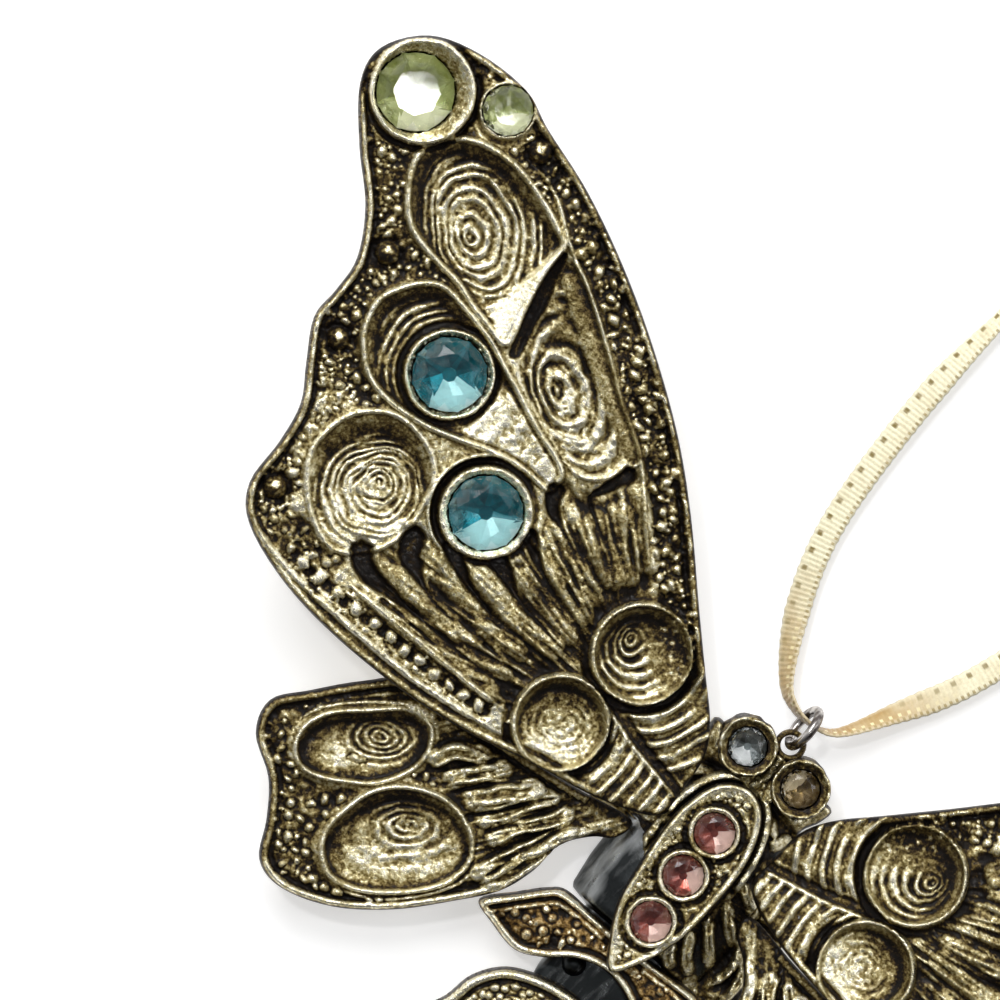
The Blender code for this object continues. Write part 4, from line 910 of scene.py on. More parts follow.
def hindwing_relief():
    r = Relief(smooth(HINDWING_OUTLINE), 0.12, PLATE - 0.15)
    r.rough(0.06, seed=40)
    f, g = smooth(CELL_F), smooth(CELL_G)
    from_f, from_g = r.signed(f, 4.0), r.signed(g, 4.0)
    root = r.inside([(-24.6, -3.0), (-5.0, -1.0), (-9.0, -8.0), (-12.0, -14.9), (-14.4, -14.4),
                     (-15.6, -10.4), (-21.4, -9.0), (-22.6, -6.0)])
    soft = r.soft(root, 0.25)
    r.h -= 0.3 * soft
    r.cords(HINDWING_RIBS, (1.6, 2.2), (0.42, 0.62), (-0.5, 0.45), 12)
    r.h += soft * 0.08 * r.noise(0.36, 50)
    r.film += 0.1 * soft
    a = math.radians(52)
    along, across = r.X * math.cos(a) + r.Y * math.sin(a), r.Y * math.cos(a) - r.X * math.sin(a)
    r.streaks(soft, along, across, 0.3, 0.12, 43)
    for line in HINDWING_SLOTS:
        r.valley(line, (0.35, 0.6, 0.35), (0.25, 0.5, 0.25), (0, 0.5, 1))
    # A border of dark granulation, whose grains get painted highlights.
    border = (from_f < -0.6) & (from_g < -0.6) & ~root & (r.edge > 0.7)
    grain = r.soft(border, 0.2)
    r.h -= 0.3 * grain
    r.darkening_and_painted_light += 0.16 * grain
    r.h += grain * (0.1 * r.noise(0.5, 44) + 0.06 * r.noise(0.3, 45))
    r.nuggets(border & (r.Y < -9.0), 1.05, 0.46, seed=13, gaps=0.2, rise=0.9, painted_shine=0.5)
    lanes = curve([(-27.0, -5.2), (-30.4, -8.4), (-33.0, -11.0)])
    r.ridge(lanes, 0.5, 0.2, taper=0.2)
    floor_f = r.bowl(f, 0.5, 1.2, 0.4, sag=0.1)
    floor_g = r.bowl(g, 0.52, 1.3, 0.4, sag=0.1)
    # Painted shade on the cell walls toward the picture's top.
    shaded_upper_side = ramp(r.up(-22.5, -12.5), -2.0, 1.5)
    for signed in (from_f, from_g):
        r.darkening_and_painted_light += 0.22 * ramp(signed, 0.1, 0.4) * fall(signed, 0.7, 1.2) * shaded_upper_side
    for centre, floor, reach in (((-26.2, -9.2), floor_f, 3.2), ((-20.0, -13.4), floor_g, 4.2)):
        away = r.far(*centre)
        floor *= 1 - 0.75 * ramp(away, 0.35 * reach, reach)
    r.ovals(floor_f, (-26.2, -9.2), 1.6, 42, (0.0, 0.4, 0.8, 1.25, 1.75, 2.4), 0.24, wander=0.16,
            hair=0.04, seed=26)
    r.nugget(-26.6, -11.7, 0.7, 0.5, 0.3, 0.4)
    r.ovals(floor_g, (-20.0, -13.4), 1.7, 44, (0.0, 0.45, 0.9, 1.5, 2.2, 3.1, 4.2), 0.26, drift=(0.1, -0.12),
            wander=0.18, hair=0.05, seed=19)
    for floor, seed in ((floor_f, 46), (floor_g, 48)):
        r.h += floor * (0.02 * r.noise(0.3, seed) + 0.02 * r.noise(0.7, seed + 1))
        r.darkening_and_painted_light -= 0.04 * floor
    r.ridge(f, 0.42, 0.42, closed=True)
    r.ridge(g, 0.5, 0.46, closed=True)
    outer = curve([(-25.4, -5.2), (-28.6, -7.4), (-31.4, -10.2), (-32.4, -12.8)])
    r.ridge(outer, 0.3, 0.34, taper=0.2)
    lower = curve([(-13.8, -12.0), (-13.9, -14.4), (-15.6, -17.0), (-18.4, -19.6), (-21.6, -21.0)])
    r.ridge(lower, 0.34, 0.32, taper=0.15)
    by_root = fall(r.X, -14.0, -10.0)
    # Painted light: the rim is lighter along the picture's bottom and painted darker elsewhere, and it also
    # stands higher along the bottom.
    inward = np.gradient(r.soft(r.edge, 0.4), r.step)
    below = ramp(inward[0] * VIEW_UP[0] + inward[1] * VIEW_UP[1], -0.1, 0.6)
    r.darkening_and_painted_light += (0.34 - 0.44 * below) * fall(r.edge, 0.7, 1.1)
    worn = (0.7 + 0.4 * r.noise(2.2, 47) + 0.3 * r.noise(0.6, 49)) * by_root * (0.4 + 0.6 * below)
    r.raise_to(0.3 * round_top((r.edge - 0.4) / 0.32) * worn)
    r.h -= 0.2 * near(r.edge - 0.9, 0.1, 0.35) * by_root
    r.darkening_and_painted_light += 0.4 * fall(r.edge, 0.12, 0.42)
    r.h = np.clip(r.h, 0.2, PLATE + 0.75)
    r.roll_edge(0.35, 0.4)
    # Nothing stands up under the forewing.
    under = r.inside([(-4.0, 1.0), (-4.0, -2.7), (-9.5, -3.1), (-15.5, -4.2), (-21.0, -5.5),
                      (-27.0, -6.2), (-36.0, -6.2), (-36.0, 1.0)])
    r.h = np.where(under, np.minimum(r.h, PLATE - 0.2), r.h)
    return r


# Thorax plaque and tail
PLAQUE_OUTLINE = [
    (-0.8, 6.2), (1.2, 5.6), (2.5, 3.6), (3.2, 0.6), (3.2, -3.0), (2.9, -6.2), (1.9, -9.4), (0.0, -12.2),
    (-1.9, -9.8), (-3.1, -7.2), (-3.6, -4.2), (-3.9, -1.0), (-3.8, 2.0), (-2.8, 4.9),
]
PLAQUE_STONES, PINK_STONE = [(-0.5, 1.7), (-0.3, -2.5), (0.0, -7.0)], 1.65
PLAQUE_THICK = 1.1


def plaque_relief():
    top = PLAQUE_THICK
    r = Relief(smooth(PLAQUE_OUTLINE), 0.07, top)
    r.rough(0.06, seed=70)
    r.h -= 0.22 * ramp(r.edge, 0.4, 0.9)
    r.h += ramp(r.edge, 0.5, 0.8) * (0.08 * r.noise(0.5, 72) + 0.05 * r.noise(0.28, 73))
    r.nuggets(r.edge > 0.85, 0.75, 0.3, seed=74, gaps=0.25, rise=0.6)
    left = (r.edge > 0.3) & (r.edge < 1.15) & (r.X < 0.4)
    r.h += 0.2 * r.soft(left, 0.15)
    r.nuggets(left, 0.62, 0.3, seed=76, gaps=0.15, rise=0.7)
    r.darkening_and_painted_light -= 0.16 * left
    r.raise_to(0.36 * round_top((r.edge - 0.34) / 0.3) * (0.75 + 0.35 * r.noise(1.3, 75)))
    r.darkening_and_painted_light += 0.3 * fall(r.edge, 0.08, 0.3) + 0.26 * r.noise(1.6, 77)
    for x, y in PLAQUE_STONES:
        r.cup(x, y, PINK_STONE, top - 0.55, 1.92, 0.2, 0.3)
    r.h = np.clip(r.h, 0.2, top + 0.6)
    r.roll_edge(0.15, 0.3)
    return r


COLLAR_HALF = [
    (0.0, -9.6), (4.0, -9.5), (6.7, -9.4), (8.0, -10.2), (9.6, -11.9), (11.7, -14.4), (9.6, -15.3),
    (6.9, -15.8), (4.7, -14.8), (2.6, -13.2), (0.0, -12.5),
]
COLLAR_BEADS = [
    (6.3, -11.8), (4.3, -10.9), (3.9, -12.2), (7.0, -14.1), (7.9, -13.2), (8.8, -13.3), (5.4, -13.4),
    (5.2, -12.4), (9.7, -14.2), (6.2, -13.0),
]
BELL_HALF = [
    (0.0, 0.0), (3.4, -0.4), (6.5, -1.7), (8.3, -4.0), (8.9, -6.6), (9.9, -9.2), (7.6, -9.9),
    (5.6, -10.3), (3.4, -9.3), (1.6, -8.3), (0.0, -8.0),
]
BELLS = [(-15.5, 1.0), (-25.3, 0.78), (-32.944, 0.6)]
TAIL_HEIGHT = 2.3


def both_sides(half):
    return np.array(half + [(-x, y) for x, y in reversed(half[1:-1])])


def domed(outline, step, base, seed):
    """A relief whose ground is the CAD dome over that outline."""
    r = Relief(outline, step, base)
    middle = (outline[:, 1].max() + outline[:, 1].min()) / 2
    half_x, half_y = outline[:, 0].max() * 1.75, (outline[:, 1].max() - outline[:, 1].min()) / 2 * 1.75
    over = np.sqrt(np.clip(1 - (r.X / half_x) ** 2 - ((r.Y - middle) / half_y) ** 2, 0.05, 1))
    r.dome = (TAIL_LOW + TAIL_HEIGHT) * over - TAIL_LOW - base
    r.rough(0.04, seed=seed)
    return r


def set_on_dome(r, low):
    r.h = np.clip(r.h, 0.2, r.base + 0.55) + r.dome
    r.ground = r.dome
    r.roll_edge(low, 0.35)
    return r


def collar_relief():
    outline = smooth(both_sides(COLLAR_HALF))
    r = domed(outline, 0.09, TAIL_HEIGHT - 0.3, 90)
    upper = np.array([(2.6, -9.9), (6.6, -9.9), (7.9, -10.7), (9.4, -12.3), (11.2, -14.4)])
    for side in (-1, 1):
        for shift in ((0, 0), (-0.45, -0.62)):
            r.ridge(curve((upper + shift) * (side, 1)), 0.5, 0.4)
        r.beads([(side * x, y) for x, y in COLLAR_BEADS], 0.4, jitter=0.08)
        r.pit(side * 5.0, -13.0, 0.7, 0.35)
    r.raise_to(0.3 * round_top((r.edge - 0.35) / 0.35))
    r.h -= 0.2 * near(r.edge - 0.95, 0.1, 0.3)
    r.h += ramp(r.edge, 0.8, 1.1) * (0.09 * r.noise(0.5, 91) + 0.05 * r.noise(0.3, 92))
    r.darkening_and_painted_light += 0.2 * ramp(r.edge, 0.7, 1.1)
    # Some grains get a painted highlight on the side toward the picture's top.
    r.nuggets((r.edge > 0.9) & (np.abs(r.X) < 8.0), 1.2, 0.38, seed=17, gaps=0.6, rise=0.6, painted_shine=0.3)
    return set_on_dome(r, 0.3)


def bell_relief(top, size, seed):
    half = [(x * size, top + y * size) for x, y in BELL_HALF]
    outline = smooth(both_sides(half))
    r = domed(outline, 0.1, TAIL_HEIGHT - 0.3, seed)
    # Flutes fan from the top to the scalloped hem.
    angle = np.degrees(np.arctan2(r.X, -(r.Y - top - 5.0 * size)))
    fan = (0.5 + 0.5 * np.cos(math.radians(360) * angle / 8.5)) ** 0.8
    r.h += (r.edge > 1.6 * size) * (0.3 * fan - 0.25) * ramp(r.edge, 1.6 * size, 2.4 * size)
    arc = outline[outline[:, 1] > top - 8.6 * size]
    arc = arc[np.argsort(np.arctan2(arc[:, 0], arc[:, 1] - (top - 9 * size)))]
    inner = (arc - (0, top - 6 * size)) * (0.83, 0.78) + (0, top - 6 * size)
    r.ridge((arc - (0, top - 6 * size)) * (0.72, 0.62) + (0, top - 6 * size), 0.4, 0.3)
    r.beads(spaced(inner, 1.15), 0.4 * max(size, 0.75), jitter=0.05)
    r.raise_to(0.42 * round_top((r.edge - 0.45) / 0.45))
    r.h -= 0.2 * near(r.edge - 1.05, 0.1, 0.3)
    return set_on_dome(r, 0.3)


def casting(relief, name, place, back=0.0):
    """The relief's face closed by a plain back, as one mesh set in place."""
    shape = bmesh.new()
    face = relief.mesh(name)
    shape.from_mesh(face)
    bpy.data.meshes.remove(face)
    bmesh.ops.delete(shape, geom=[v for v in shape.verts if not v.link_faces], context="VERTS")
    rim = [e for e in shape.edges if e.is_boundary]
    verts = list({v for e in rim for v in e.verts})
    verts.sort(key=lambda v: v.index)
    number = {v: i for i, v in enumerate(verts)}
    # The back has a coarse grid of points, which is finer by the edge, where it turns up to the face.
    coarse, fine = (np.zeros(relief.X.shape, bool) for _ in range(2))
    coarse[::5, ::5] = True
    fine[::2, ::2] = True
    by_edge = relief.edge <= 0.6
    chosen = (coarse & ~by_edge) | (fine & by_edge & (relief.edge > 1.6 * relief.step))
    flat = [v.co.xy / MM for v in verts] + [Vector(p) for p in zip(relief.X[chosen], relief.Y[chosen])]
    turn = np.clip(relief.edge[chosen] / 0.35, 0, 1)
    heights = back + (relief.low - back) * (1 - np.sqrt(np.clip(1 - (1 - turn) ** 2, 0, 1)))
    heights += 0.02 * (noise(relief.X[chosen], relief.Y[chosen], 2.3, 4) + 1) * turn
    edges = [(number[e.verts[0]], number[e.verts[1]]) for e in rim]
    where, _, faces, origins, _, _ = delaunay_2d_cdt(flat, edges, [], 1, 1e-5)
    layer = shape.verts.layers.float["patina_and_painted_light"]
    new = []
    for point, origin in zip(where, origins):
        first = min(origin) if origin else None
        if first is not None and first < len(verts):
            new.append(verts[first])
            continue
        height = heights[first - len(verts)] if first is not None else relief.low
        vert = shape.verts.new((point.x * MM, point.y * MM, height * MM))
        vert[layer] = BACK_PATINA
        new.append(vert)
    for face in faces:
        corners = [new[i] for i in reversed(face)]
        if len(set(corners)) == 3:
            shape.faces.new(corners)
    made = bpy.data.meshes.new(name)
    shape.to_mesh(made)
    shape.free()
    made.shade_smooth()
    made.transform(place)
    return made


# Materials
class Shader:
    """The nodes of a material, or of the world, with a short call for each kind used here."""

    def __init__(self, name, owners=None):
        owners = bpy.data.materials if owners is None else owners
        self.owner = owners.new(name)
        self.owner.use_nodes = True
        self.tree = self.owner.node_tree
        self.tree.nodes.clear()
        self.places = self.put("TexCoord").outputs

    def put(self, kind, inputs=None, **settings):
        node = self.tree.nodes.new("ShaderNode" + kind)
        for key, value in settings.items():
            setattr(node, key, value)
        for key, value in (inputs or {}).items():
            if isinstance(value, bpy.types.NodeSocket):
                self.tree.links.new(value, node.inputs[key])
            else:
                node.inputs[key].default_value = value
        return node

    def math(self, operation, a, b=0.0, clamp=False):
        return self.put("Math", {0: a, 1: b}, operation=operation, use_clamp=clamp).outputs[0]

    def mix(self, share, a, b):
        colours = {6: a, 7: b}
        for key, value in colours.items():
            if isinstance(value, tuple):
                colours[key] = (*value, 1.0)
        return self.put("Mix", {0: share, **colours}, data_type="RGBA").outputs[2]

    def noise(self, size, detail=3.0, roughness=0.55, stretch=None):
        """Noise from 0 to 1 whose lumps are size millimetres across."""
        place = self.places["Object"]
        if stretch:
            place = self.put("Mapping", {"Vector": place, "Scale": stretch}).outputs[0]
        return self.put("TexNoise", {"Vector": place, "Scale": 1 / (size * MM), "Detail": detail,
                                     "Roughness": roughness}).outputs[0]

    def attribute(self, name):
        return self.put("Attribute", attribute_name=name).outputs["Fac"]

    def tones(self, value, stops):
        """A colour ramp with a stop for each (place, colour)."""
        node = self.put("ValToRGB", {0: value})
        while len(node.color_ramp.elements) < len(stops):
            node.color_ramp.elements.new(0.5)
        for element, (at, colour) in zip(node.color_ramp.elements, stops):
            element.position, element.color = at, (*colour, 1.0)
        return node.outputs[0]

    def spread(self, value, low, high, to_low=0.0, to_high=1.0):
        return self.put("MapRange", {0: value, 1: low, 2: high, 3: to_low, 4: to_high}).outputs[0]

    def bump(self, height, distance, strength=1.0, normal=None):
        inputs = {"Height": height, "Distance": distance * MM, "Strength": strength}
        if normal:
            inputs["Normal"] = normal
        return self.put("Bump", inputs).outputs[0]

    def surface(self, **inputs):
        """Ends the nodes in a Principled shader and returns the material."""
        named = {key.replace("_", " ").title().replace("Ior", "IOR"): value for key, value in inputs.items()}
        self.put("OutputMaterial", {0: self.put("BsdfPrincipled", named).outputs[0]})
        return self.owner


def antique_gold(name="antique_gold", mid=(0.44, 0.36, 0.155), deep=(0.165, 0.115, 0.038)):
    s = Shader(name)
    blotch = s.noise(2.4, 4.0)
    grain = s.noise(0.27, 5.0, 0.75)
    fleck = s.noise(0.6, 3.0, 0.6)
    # The point attribute holds the dark finish together with painted shade and painted highlights.
    worn = s.math("ADD", s.attribute("patina_and_painted_light"), s.spread(blotch, 0.3, 0.7, -0.10, 0.14))
    worn = s.math("ADD", worn, s.spread(grain, 0.3, 0.7, -0.34, 0.36))
    worn = s.math("ADD", worn, s.spread(fleck, 0.35, 0.65, -0.08, 0.10))
    colour = s.tones(worn, [(0.0, (1.0, 0.96, 0.78)), (0.12, (0.88, 0.81, 0.54)), (0.33, mid), (0.56, deep),
                            (0.80, (0.024, 0.014, 0.006)), (1.0, (0.006, 0.004, 0.003))])
    metallic = s.spread(worn, 0.55, 0.95, 1.0, 0.35)
    roughness = s.math("ADD", s.spread(worn, 0.1, 0.9, 0.2, 0.44), s.spread(grain, 0.3, 0.7, 0.0, 0.12))
    bumps = s.bump(s.noise(0.9, 3.0), 0.08, 0.6)
    coat = s.bump(fleck, 0.06, 0.7)
    bumps = s.bump(grain, 0.12, s.spread(worn, 0.0, 0.35, 0.5, 1.0), bumps)
    return s.surface(base_color=colour, metallic=metallic, roughness=roughness, specular_ior_level=0.2,
                     normal=bumps, coat_weight=0.12, coat_roughness=0.06, coat_normal=coat)


def bare_metal(name, dark, light, rough, painted_highlight_x=None):
    """Worn steel. Its light streaks may gather round a painted highlight: a light line along the body, so far
    to the left of its axis.
    """
    s = Shader(name)
    streaks = s.noise(1.0, 2.0, 0.5, stretch=(1.8, 0.4, 1.0))
    grain = s.noise(0.3, 4.0, 0.6)
    share = s.spread(streaks, 0.36, 0.62)
    if painted_highlight_x:
        # A painted highlight: a light line along the body, left of its axis.
        across = s.math("MULTIPLY", s.put("SeparateXYZ", {0: s.places["Object"]}).outputs[0], -1.0)
        middle = s.spread(s.noise(3.4, 1.0), 0.3, 0.7, (painted_highlight_x - 0.5) * MM, (painted_highlight_x + 0.5) * MM)
        off = s.math("ABSOLUTE", s.math("SUBTRACT", across, middle))
        on_painted_highlight = s.math("MULTIPLY", s.spread(off, 0.0, 1.1 * MM, 1.0, 0.0), 0.8)
        share = s.math("ADD", on_painted_highlight, s.spread(streaks, 0.3, 0.7, -0.16, 0.14), clamp=True)
    colour = s.mix(share, dark, light)
    dull = s.spread(streaks, 0.3, 0.7, rough + 0.14, rough)
    roughness = s.math("ADD", dull, s.spread(grain, 0.3, 0.7, 0, 0.1))
    bumps = s.bump(grain, 0.03, 0.5, s.bump(streaks, 0.06, 0.4))
    return s.surface(base_color=colour, metallic=1.0, roughness=roughness, normal=bumps)


def glass(name, colour):
    s = Shader(name)
    cloud = s.noise(1.4, 2.0)
    tint = s.mix(s.spread(cloud, 0.35, 0.65), tuple(0.93 * c for c in colour), colour)
    roughness = s.spread(s.noise(0.8, 3.0), 0.4, 0.75, 0.01, 0.07)
    return s.surface(base_color=tint, roughness=roughness, transmission_weight=1.0, ior=1.46)


def foil(name, dark, middle, bright):
    s = Shader(name)
    mottle = s.spread(s.noise(0.9, 3.0), 0.3, 0.7, -0.10, 0.10)
    # The foil's colour runs from dark to bright with the painted light of its facets.
    mottled = s.math("ADD", s.attribute("painted_facet_light"), mottle, clamp=True)
    colour = s.tones(mottled, [(0.0, dark), (0.5, middle), (1.0, bright)])
    return s.surface(base_color=colour, metallic=s.spread(mottled, 0.5, 0.85, 0.8, 0.0),
                     roughness=s.spread(mottled, 0.0, 1.0, 0.34, 0.2),
                     normal=s.bump(s.noise(0.5, 2.0), 0.03, 0.4))


def satin():
    s = Shader("satin_ribbon")
    along, across = s.attribute("along"), s.attribute("across")
    ribs = s.math("SINE", s.math("MULTIPLY", along, 2 * math.pi / 0.42))
    side = s.math("ABSOLUTE", across)
    thread = s.noise(0.22, 4.0, 0.65)
    blotch = s.noise(2.2, 3.0)
    worn = s.math("ADD", s.spread(along, 3.0, 15.0), s.spread(blotch, 0.3, 0.7, -0.2, 0.2), clamp=True)
    cloth = s.mix(worn, (0.44, 0.25, 0.06), (1.0, 0.95, 0.68))
    cloth = s.mix(s.spread(thread, 0.35, 0.65, 0.34, 0.0), cloth, (0.52, 0.39, 0.15))
    cloth = s.mix(s.spread(side, 0.5, 0.95, 0.0, 0.5), cloth, (0.97, 0.92, 0.70))
    cloth = s.mix(s.spread(ribs, -1.0, -0.3, 0.08, 0.0), cloth, (0.40, 0.28, 0.12))

    def spots(pitch, shift, at, half, low):
        """Spots a pitch apart along the ribbon, round one place across it."""
        wave = s.math("SINE", s.math("ADD", s.math("MULTIPLY", along, 2 * math.pi / pitch), shift))
        lane = s.spread(s.math("ABSOLUTE", s.math("SUBTRACT", across, at)), 0.4 * half, half, 1.0, 0.0)
        return s.math("MULTIPLY", s.spread(wave, low, low + 0.3), lane)

    # Dark eyelets lie left of the middle, pale ones right of it by the ring, and dashes along the right edge.
    cloth = s.mix(s.math("MULTIPLY", spots(1.5, 0.0, -0.5, 0.30, 0.45), worn), cloth, (0.26, 0.19, 0.05))
    cloth = s.mix(s.math("MULTIPLY", spots(0.5, 1.0, 0.76, 0.20, 0.0), 0.75), cloth, (0.36, 0.25, 0.07))
    cloth = s.mix(s.math("MULTIPLY", spots(0.8, 0.5, 0.36, 0.24, 0.3), s.math("SUBTRACT", 1.0, worn)), cloth,
                  (0.97, 0.86, 0.50))
    bumps = s.bump(ribs, 0.02, 0.4, s.bump(thread, 0.04, 0.8))
    return s.surface(base_color=cloth, roughness=s.spread(thread, 0.3, 0.7, 0.26, 0.45), sheen_weight=0.4,
                     sheen_roughness=0.4, normal=bumps)


GOLD = antique_gold()
AMBER = antique_gold("amber_gold", (0.42, 0.27, 0.09), (0.15, 0.085, 0.026))
# The backbone's painted highlight lies 5.3 mm left of its axis.
SILVER = bare_metal("bare_metal", (0.028, 0.031, 0.032), (0.55, 0.57, 0.57), 0.2, painted_highlight_x=5.3)
STEEL = bare_metal("ring_steel", (0.10, 0.085, 0.08), (0.72, 0.69, 0.66), 0.12)
SATIN = satin()
GLASSES = {
    "pale_green_stone": (glass("pale_green_glass", (0.97, 0.99, 0.84)),
                         foil("green_foil", (0.32, 0.36, 0.11), (0.84, 0.90, 0.50), (1.0, 1.0, 0.88))),
    "aqua_stone": (glass("aqua_glass", (0.74, 0.98, 0.99)),
                   foil("aqua_foil", (0.002, 0.09, 0.12), (0.02, 0.36, 0.45), (0.92, 1.0, 1.0))),
    "rose_stone": (glass("rose_glass", (0.97, 0.86, 0.82)),
                   foil("rose_foil", (0.14, 0.025, 0.020), (0.46, 0.13, 0.095), (1.0, 0.86, 0.80))),
    "clear_stone": (glass("clear_glass", (0.94, 0.96, 0.96)),
                    foil("clear_foil", (0.055, 0.055, 0.04), (0.34, 0.38, 0.39), (1.0, 1.0, 1.0))),
    "smoky_stone": (glass("smoky_glass", (0.93, 0.87, 0.74)),
                    foil("smoky_foil", (0.09, 0.06, 0.022), (0.42, 0.32, 0.15), (1.0, 0.94, 0.80))),
}


# Camera and ribbon
def make_camera():
    data = bpy.data.cameras.new("camera")
    data.sensor_width = 36.0
    data.lens = data.sensor_width * CAMERA_HEIGHT / VIEW_WIDTH
    data.clip_start, data.clip_end = 0.01, 10.0
    camera = bpy.data.objects.new("camera", data)
    x, y, z = VIEW_CENTRE
    camera.location = (x * MM, y * MM, (z + CAMERA_HEIGHT) * MM)
    camera.rotation_euler = (0, 0, math.atan2(VIEW_RIGHT[1], VIEW_RIGHT[0]))
    bpy.context.scene.collection.objects.link(camera)
    bpy.context.scene.camera = camera


RING_AT = (0.6, 13.3, 2.3)
# The strands from the ring to the knot.
RIBBON_LEFT = [
    (-1.5, 13.5, 2.2), (-3.6, 15.0, 1.5), (-6.3, 19.8, 0.9), (-8.3, 26.0, 0.8), (-9.0, 34.0, 0.8),
    (-8.8, 44.0, 0.8), (-7.1, 56.0, 0.8), (-3.5, 68.0, 0.8), (1.6, 78.2, 0.9), (8.2, 88.5, 1.7),
]
RIBBON_RIGHT = [
    (2.5, 14.3, 1.8), (5.0, 18.2, 1.0), (8.2, 24.0, 0.8), (11.5, 33.8, 0.8), (14.1, 44.5, 0.8),
    (15.5, 57.0, 0.8), (15.0, 69.0, 0.8), (13.6, 79.5, 0.9), (11.4, 88.9, 1.7),
]
RIBBON_WIDTH, RIBBON_THICK, RIBBON_PINCH = 2.2, 0.34, 0.7
KNOT_AT = (9.9, 91.0, 2.0)
TAIL_ENDS = [(6.6, 98.6), (12.4, 98.8)]


def strip(name, line, angles, widths, started=0.0):
    """A woven ribbon along a line: a thin cushion of a cross-section, with looped edges."""
    line = np.asarray(line, float)
    steps = np.linalg.norm(np.diff(line, axis=0), axis=1)
    run = np.concatenate([[0], np.cumsum(steps)])
    at = np.linspace(0, run[-1], int(run[-1] / (0.1 if FINE else 0.4)))
    line = np.stack([np.interp(at, run, line[:, k]) for k in range(3)], 1)
    angle = np.radians(np.interp(at / run[-1], *angles))
    width = np.interp(at / run[-1], *widths) / 2
    along = np.gradient(line, axis=0)
    along /= np.linalg.norm(along, axis=1)[:, None]
    side = np.cross(along, (0, 0, 1.0))
    side /= np.linalg.norm(side, axis=1)[:, None]
    up = np.cross(side, along)
    out = side * np.cos(angle)[:, None] + up * np.sin(angle)[:, None]
    face = np.cross(out, along)
    across = np.array([-1, -0.86, -0.7, -0.45, -0.15, 0.15, 0.45, 0.7, 0.86, 1])
    u = np.concatenate([across, across[-2:0:-1]])
    upper = np.concatenate([np.ones(len(across)), -np.ones(len(across) - 2)])
    thick = np.where(np.abs(u) == 1, 0.0, 1 - 0.45 * np.abs(u) ** 3) * upper
    s = at + started
    picot = 1 + 0.07 * (0.5 + 0.5 * np.sin(2 * math.pi * s / 0.84))
    rib = 1 + 0.05 * np.sin(2 * math.pi * s / 0.42)
    points = (line[:, None, :] + out[:, None, :] * (u[None, :, None] * (width * picot)[:, None, None])
              + face[:, None, :] * (thick[None, :, None] * (RIBBON_THICK / 2 * rib)[:, None, None]))
    rows, around = len(line), len(u)
    half = len(across)
    caps = []
    for start, flip in ((0, True), ((rows - 1) * around, False)):
        for k in range(half - 1):
            low_a, low_b = (around - k) % around, (around - k - 1) % around
            quad = [k, k + 1, low_b, low_a]
            quad = [q for i, q in enumerate(quad) if q not in quad[:i]]
            caps.append([start + q for q in (quad if flip else quad[::-1])])
    cap_quads = np.array([c for c in caps if len(c) == 4])
    cap_tris = np.array([c for c in caps if len(c) == 3])
    made = mesh_from(name, points.reshape(-1, 3) * MM, np.concatenate([sleeve(rows, around), cap_quads]),
                     cap_tris)
    give(made, "along", np.repeat(s, around))
    give(made, "across", np.tile(u, rows))
    return made, line


def make_knot():
    """The overhand knot that closes the loop, with the two cut ends."""
    steps, sides = 160, 16
    turn = np.linspace(0, 2 * math.pi, steps, endpoint=False)
    x = np.sin(turn) + 2 * np.sin(2 * turn)
    y = np.cos(turn) - 2 * np.cos(2 * turn)
    z = -np.sin(3 * turn)
    path = np.stack([0.37 * x, 0.36 * y, 0.9 * z], 1) + np.array(KNOT_AT)
    knot = tube("knot_turns", path, 0.78 + 0.05 * np.sin(9 * turn), sides, closed=True)
    run = np.repeat(turn * 3.2, sides)
    give(knot, "along", run + 80)
    give(knot, "across", np.tile(np.sin(np.linspace(0, 2 * math.pi, sides)), steps))
    pieces = [knot]
    for k, (x, y) in enumerate(TAIL_ENDS):
        start = Vector(KNOT_AT)
        line = curve([tuple(start), (0.6 * start.x + 0.4 * x, 0.6 * start.y + 0.4 * y, 1.4),
                      (0.3 * start.x + 0.7 * x, 0.25 * start.y + 0.75 * y, 1.15), (x, y, 1.2)], 8)
        widths = ((0, 1), (1.6, RIBBON_WIDTH))
        pieces.append(strip(f"knot_end_{k + 1}", line, ((0, 1), (60, 10)), widths, started=84)[0])
    return pieces


def make_ribbon():
    knot, *ends = [add(m.name, m, SATIN, "hanger") for m in make_knot()]
    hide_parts("ribbon_knot")
    for name, points in (("ribbon_left", RIBBON_LEFT), ("ribbon_right", RIBBON_RIGHT)):
        # The strand runs on into the knot.
        inner = tuple(0.4 * p + 0.6 * k for p, k in zip(points[-1], KNOT_AT))
        line = curve([RING_AT] + points + [inner], 8)
        angles = ((0, 0.12, 0.38, 0.46, 0.56, 0.85, 1), (85, 16, 16, 38, 16, 16, 80))
        widths = ((0, 0.12, 0.38, 0.46, 0.56, 0.9, 1),
                  RIBBON_WIDTH * np.array((RIBBON_PINCH, 0.95, 0.95, 0.7, 0.95, 0.95, 0.77)))
        mesh, path = strip(name + "_strip", line, angles, widths)
        piece = add(name + "_strip", mesh, SATIN, "hanger", node=name)


make_camera()
make_ribbon()


# Stones
def hull(name, points):
    """The convex solid through the points, in millimetres, with flat facets."""
    shape = bmesh.new()
    for p in points:
        shape.verts.new(Vector(p) * MM)
    made = bmesh.ops.convex_hull(shape, input=shape.verts)
    loose = {v for v in made["geom_interior"] + made["geom_unused"] if isinstance(v, bmesh.types.BMVert)}
    bmesh.ops.delete(shape, geom=list(loose), context="VERTS")
    bmesh.ops.dissolve_limit(shape, angle_limit=math.radians(1.0), verts=shape.verts, edges=shape.edges)
    bmesh.ops.recalc_face_normals(shape, faces=shape.faces)
    mesh = bpy.data.meshes.new(name)
    shape.to_mesh(mesh)
    shape.free()
    return mesh


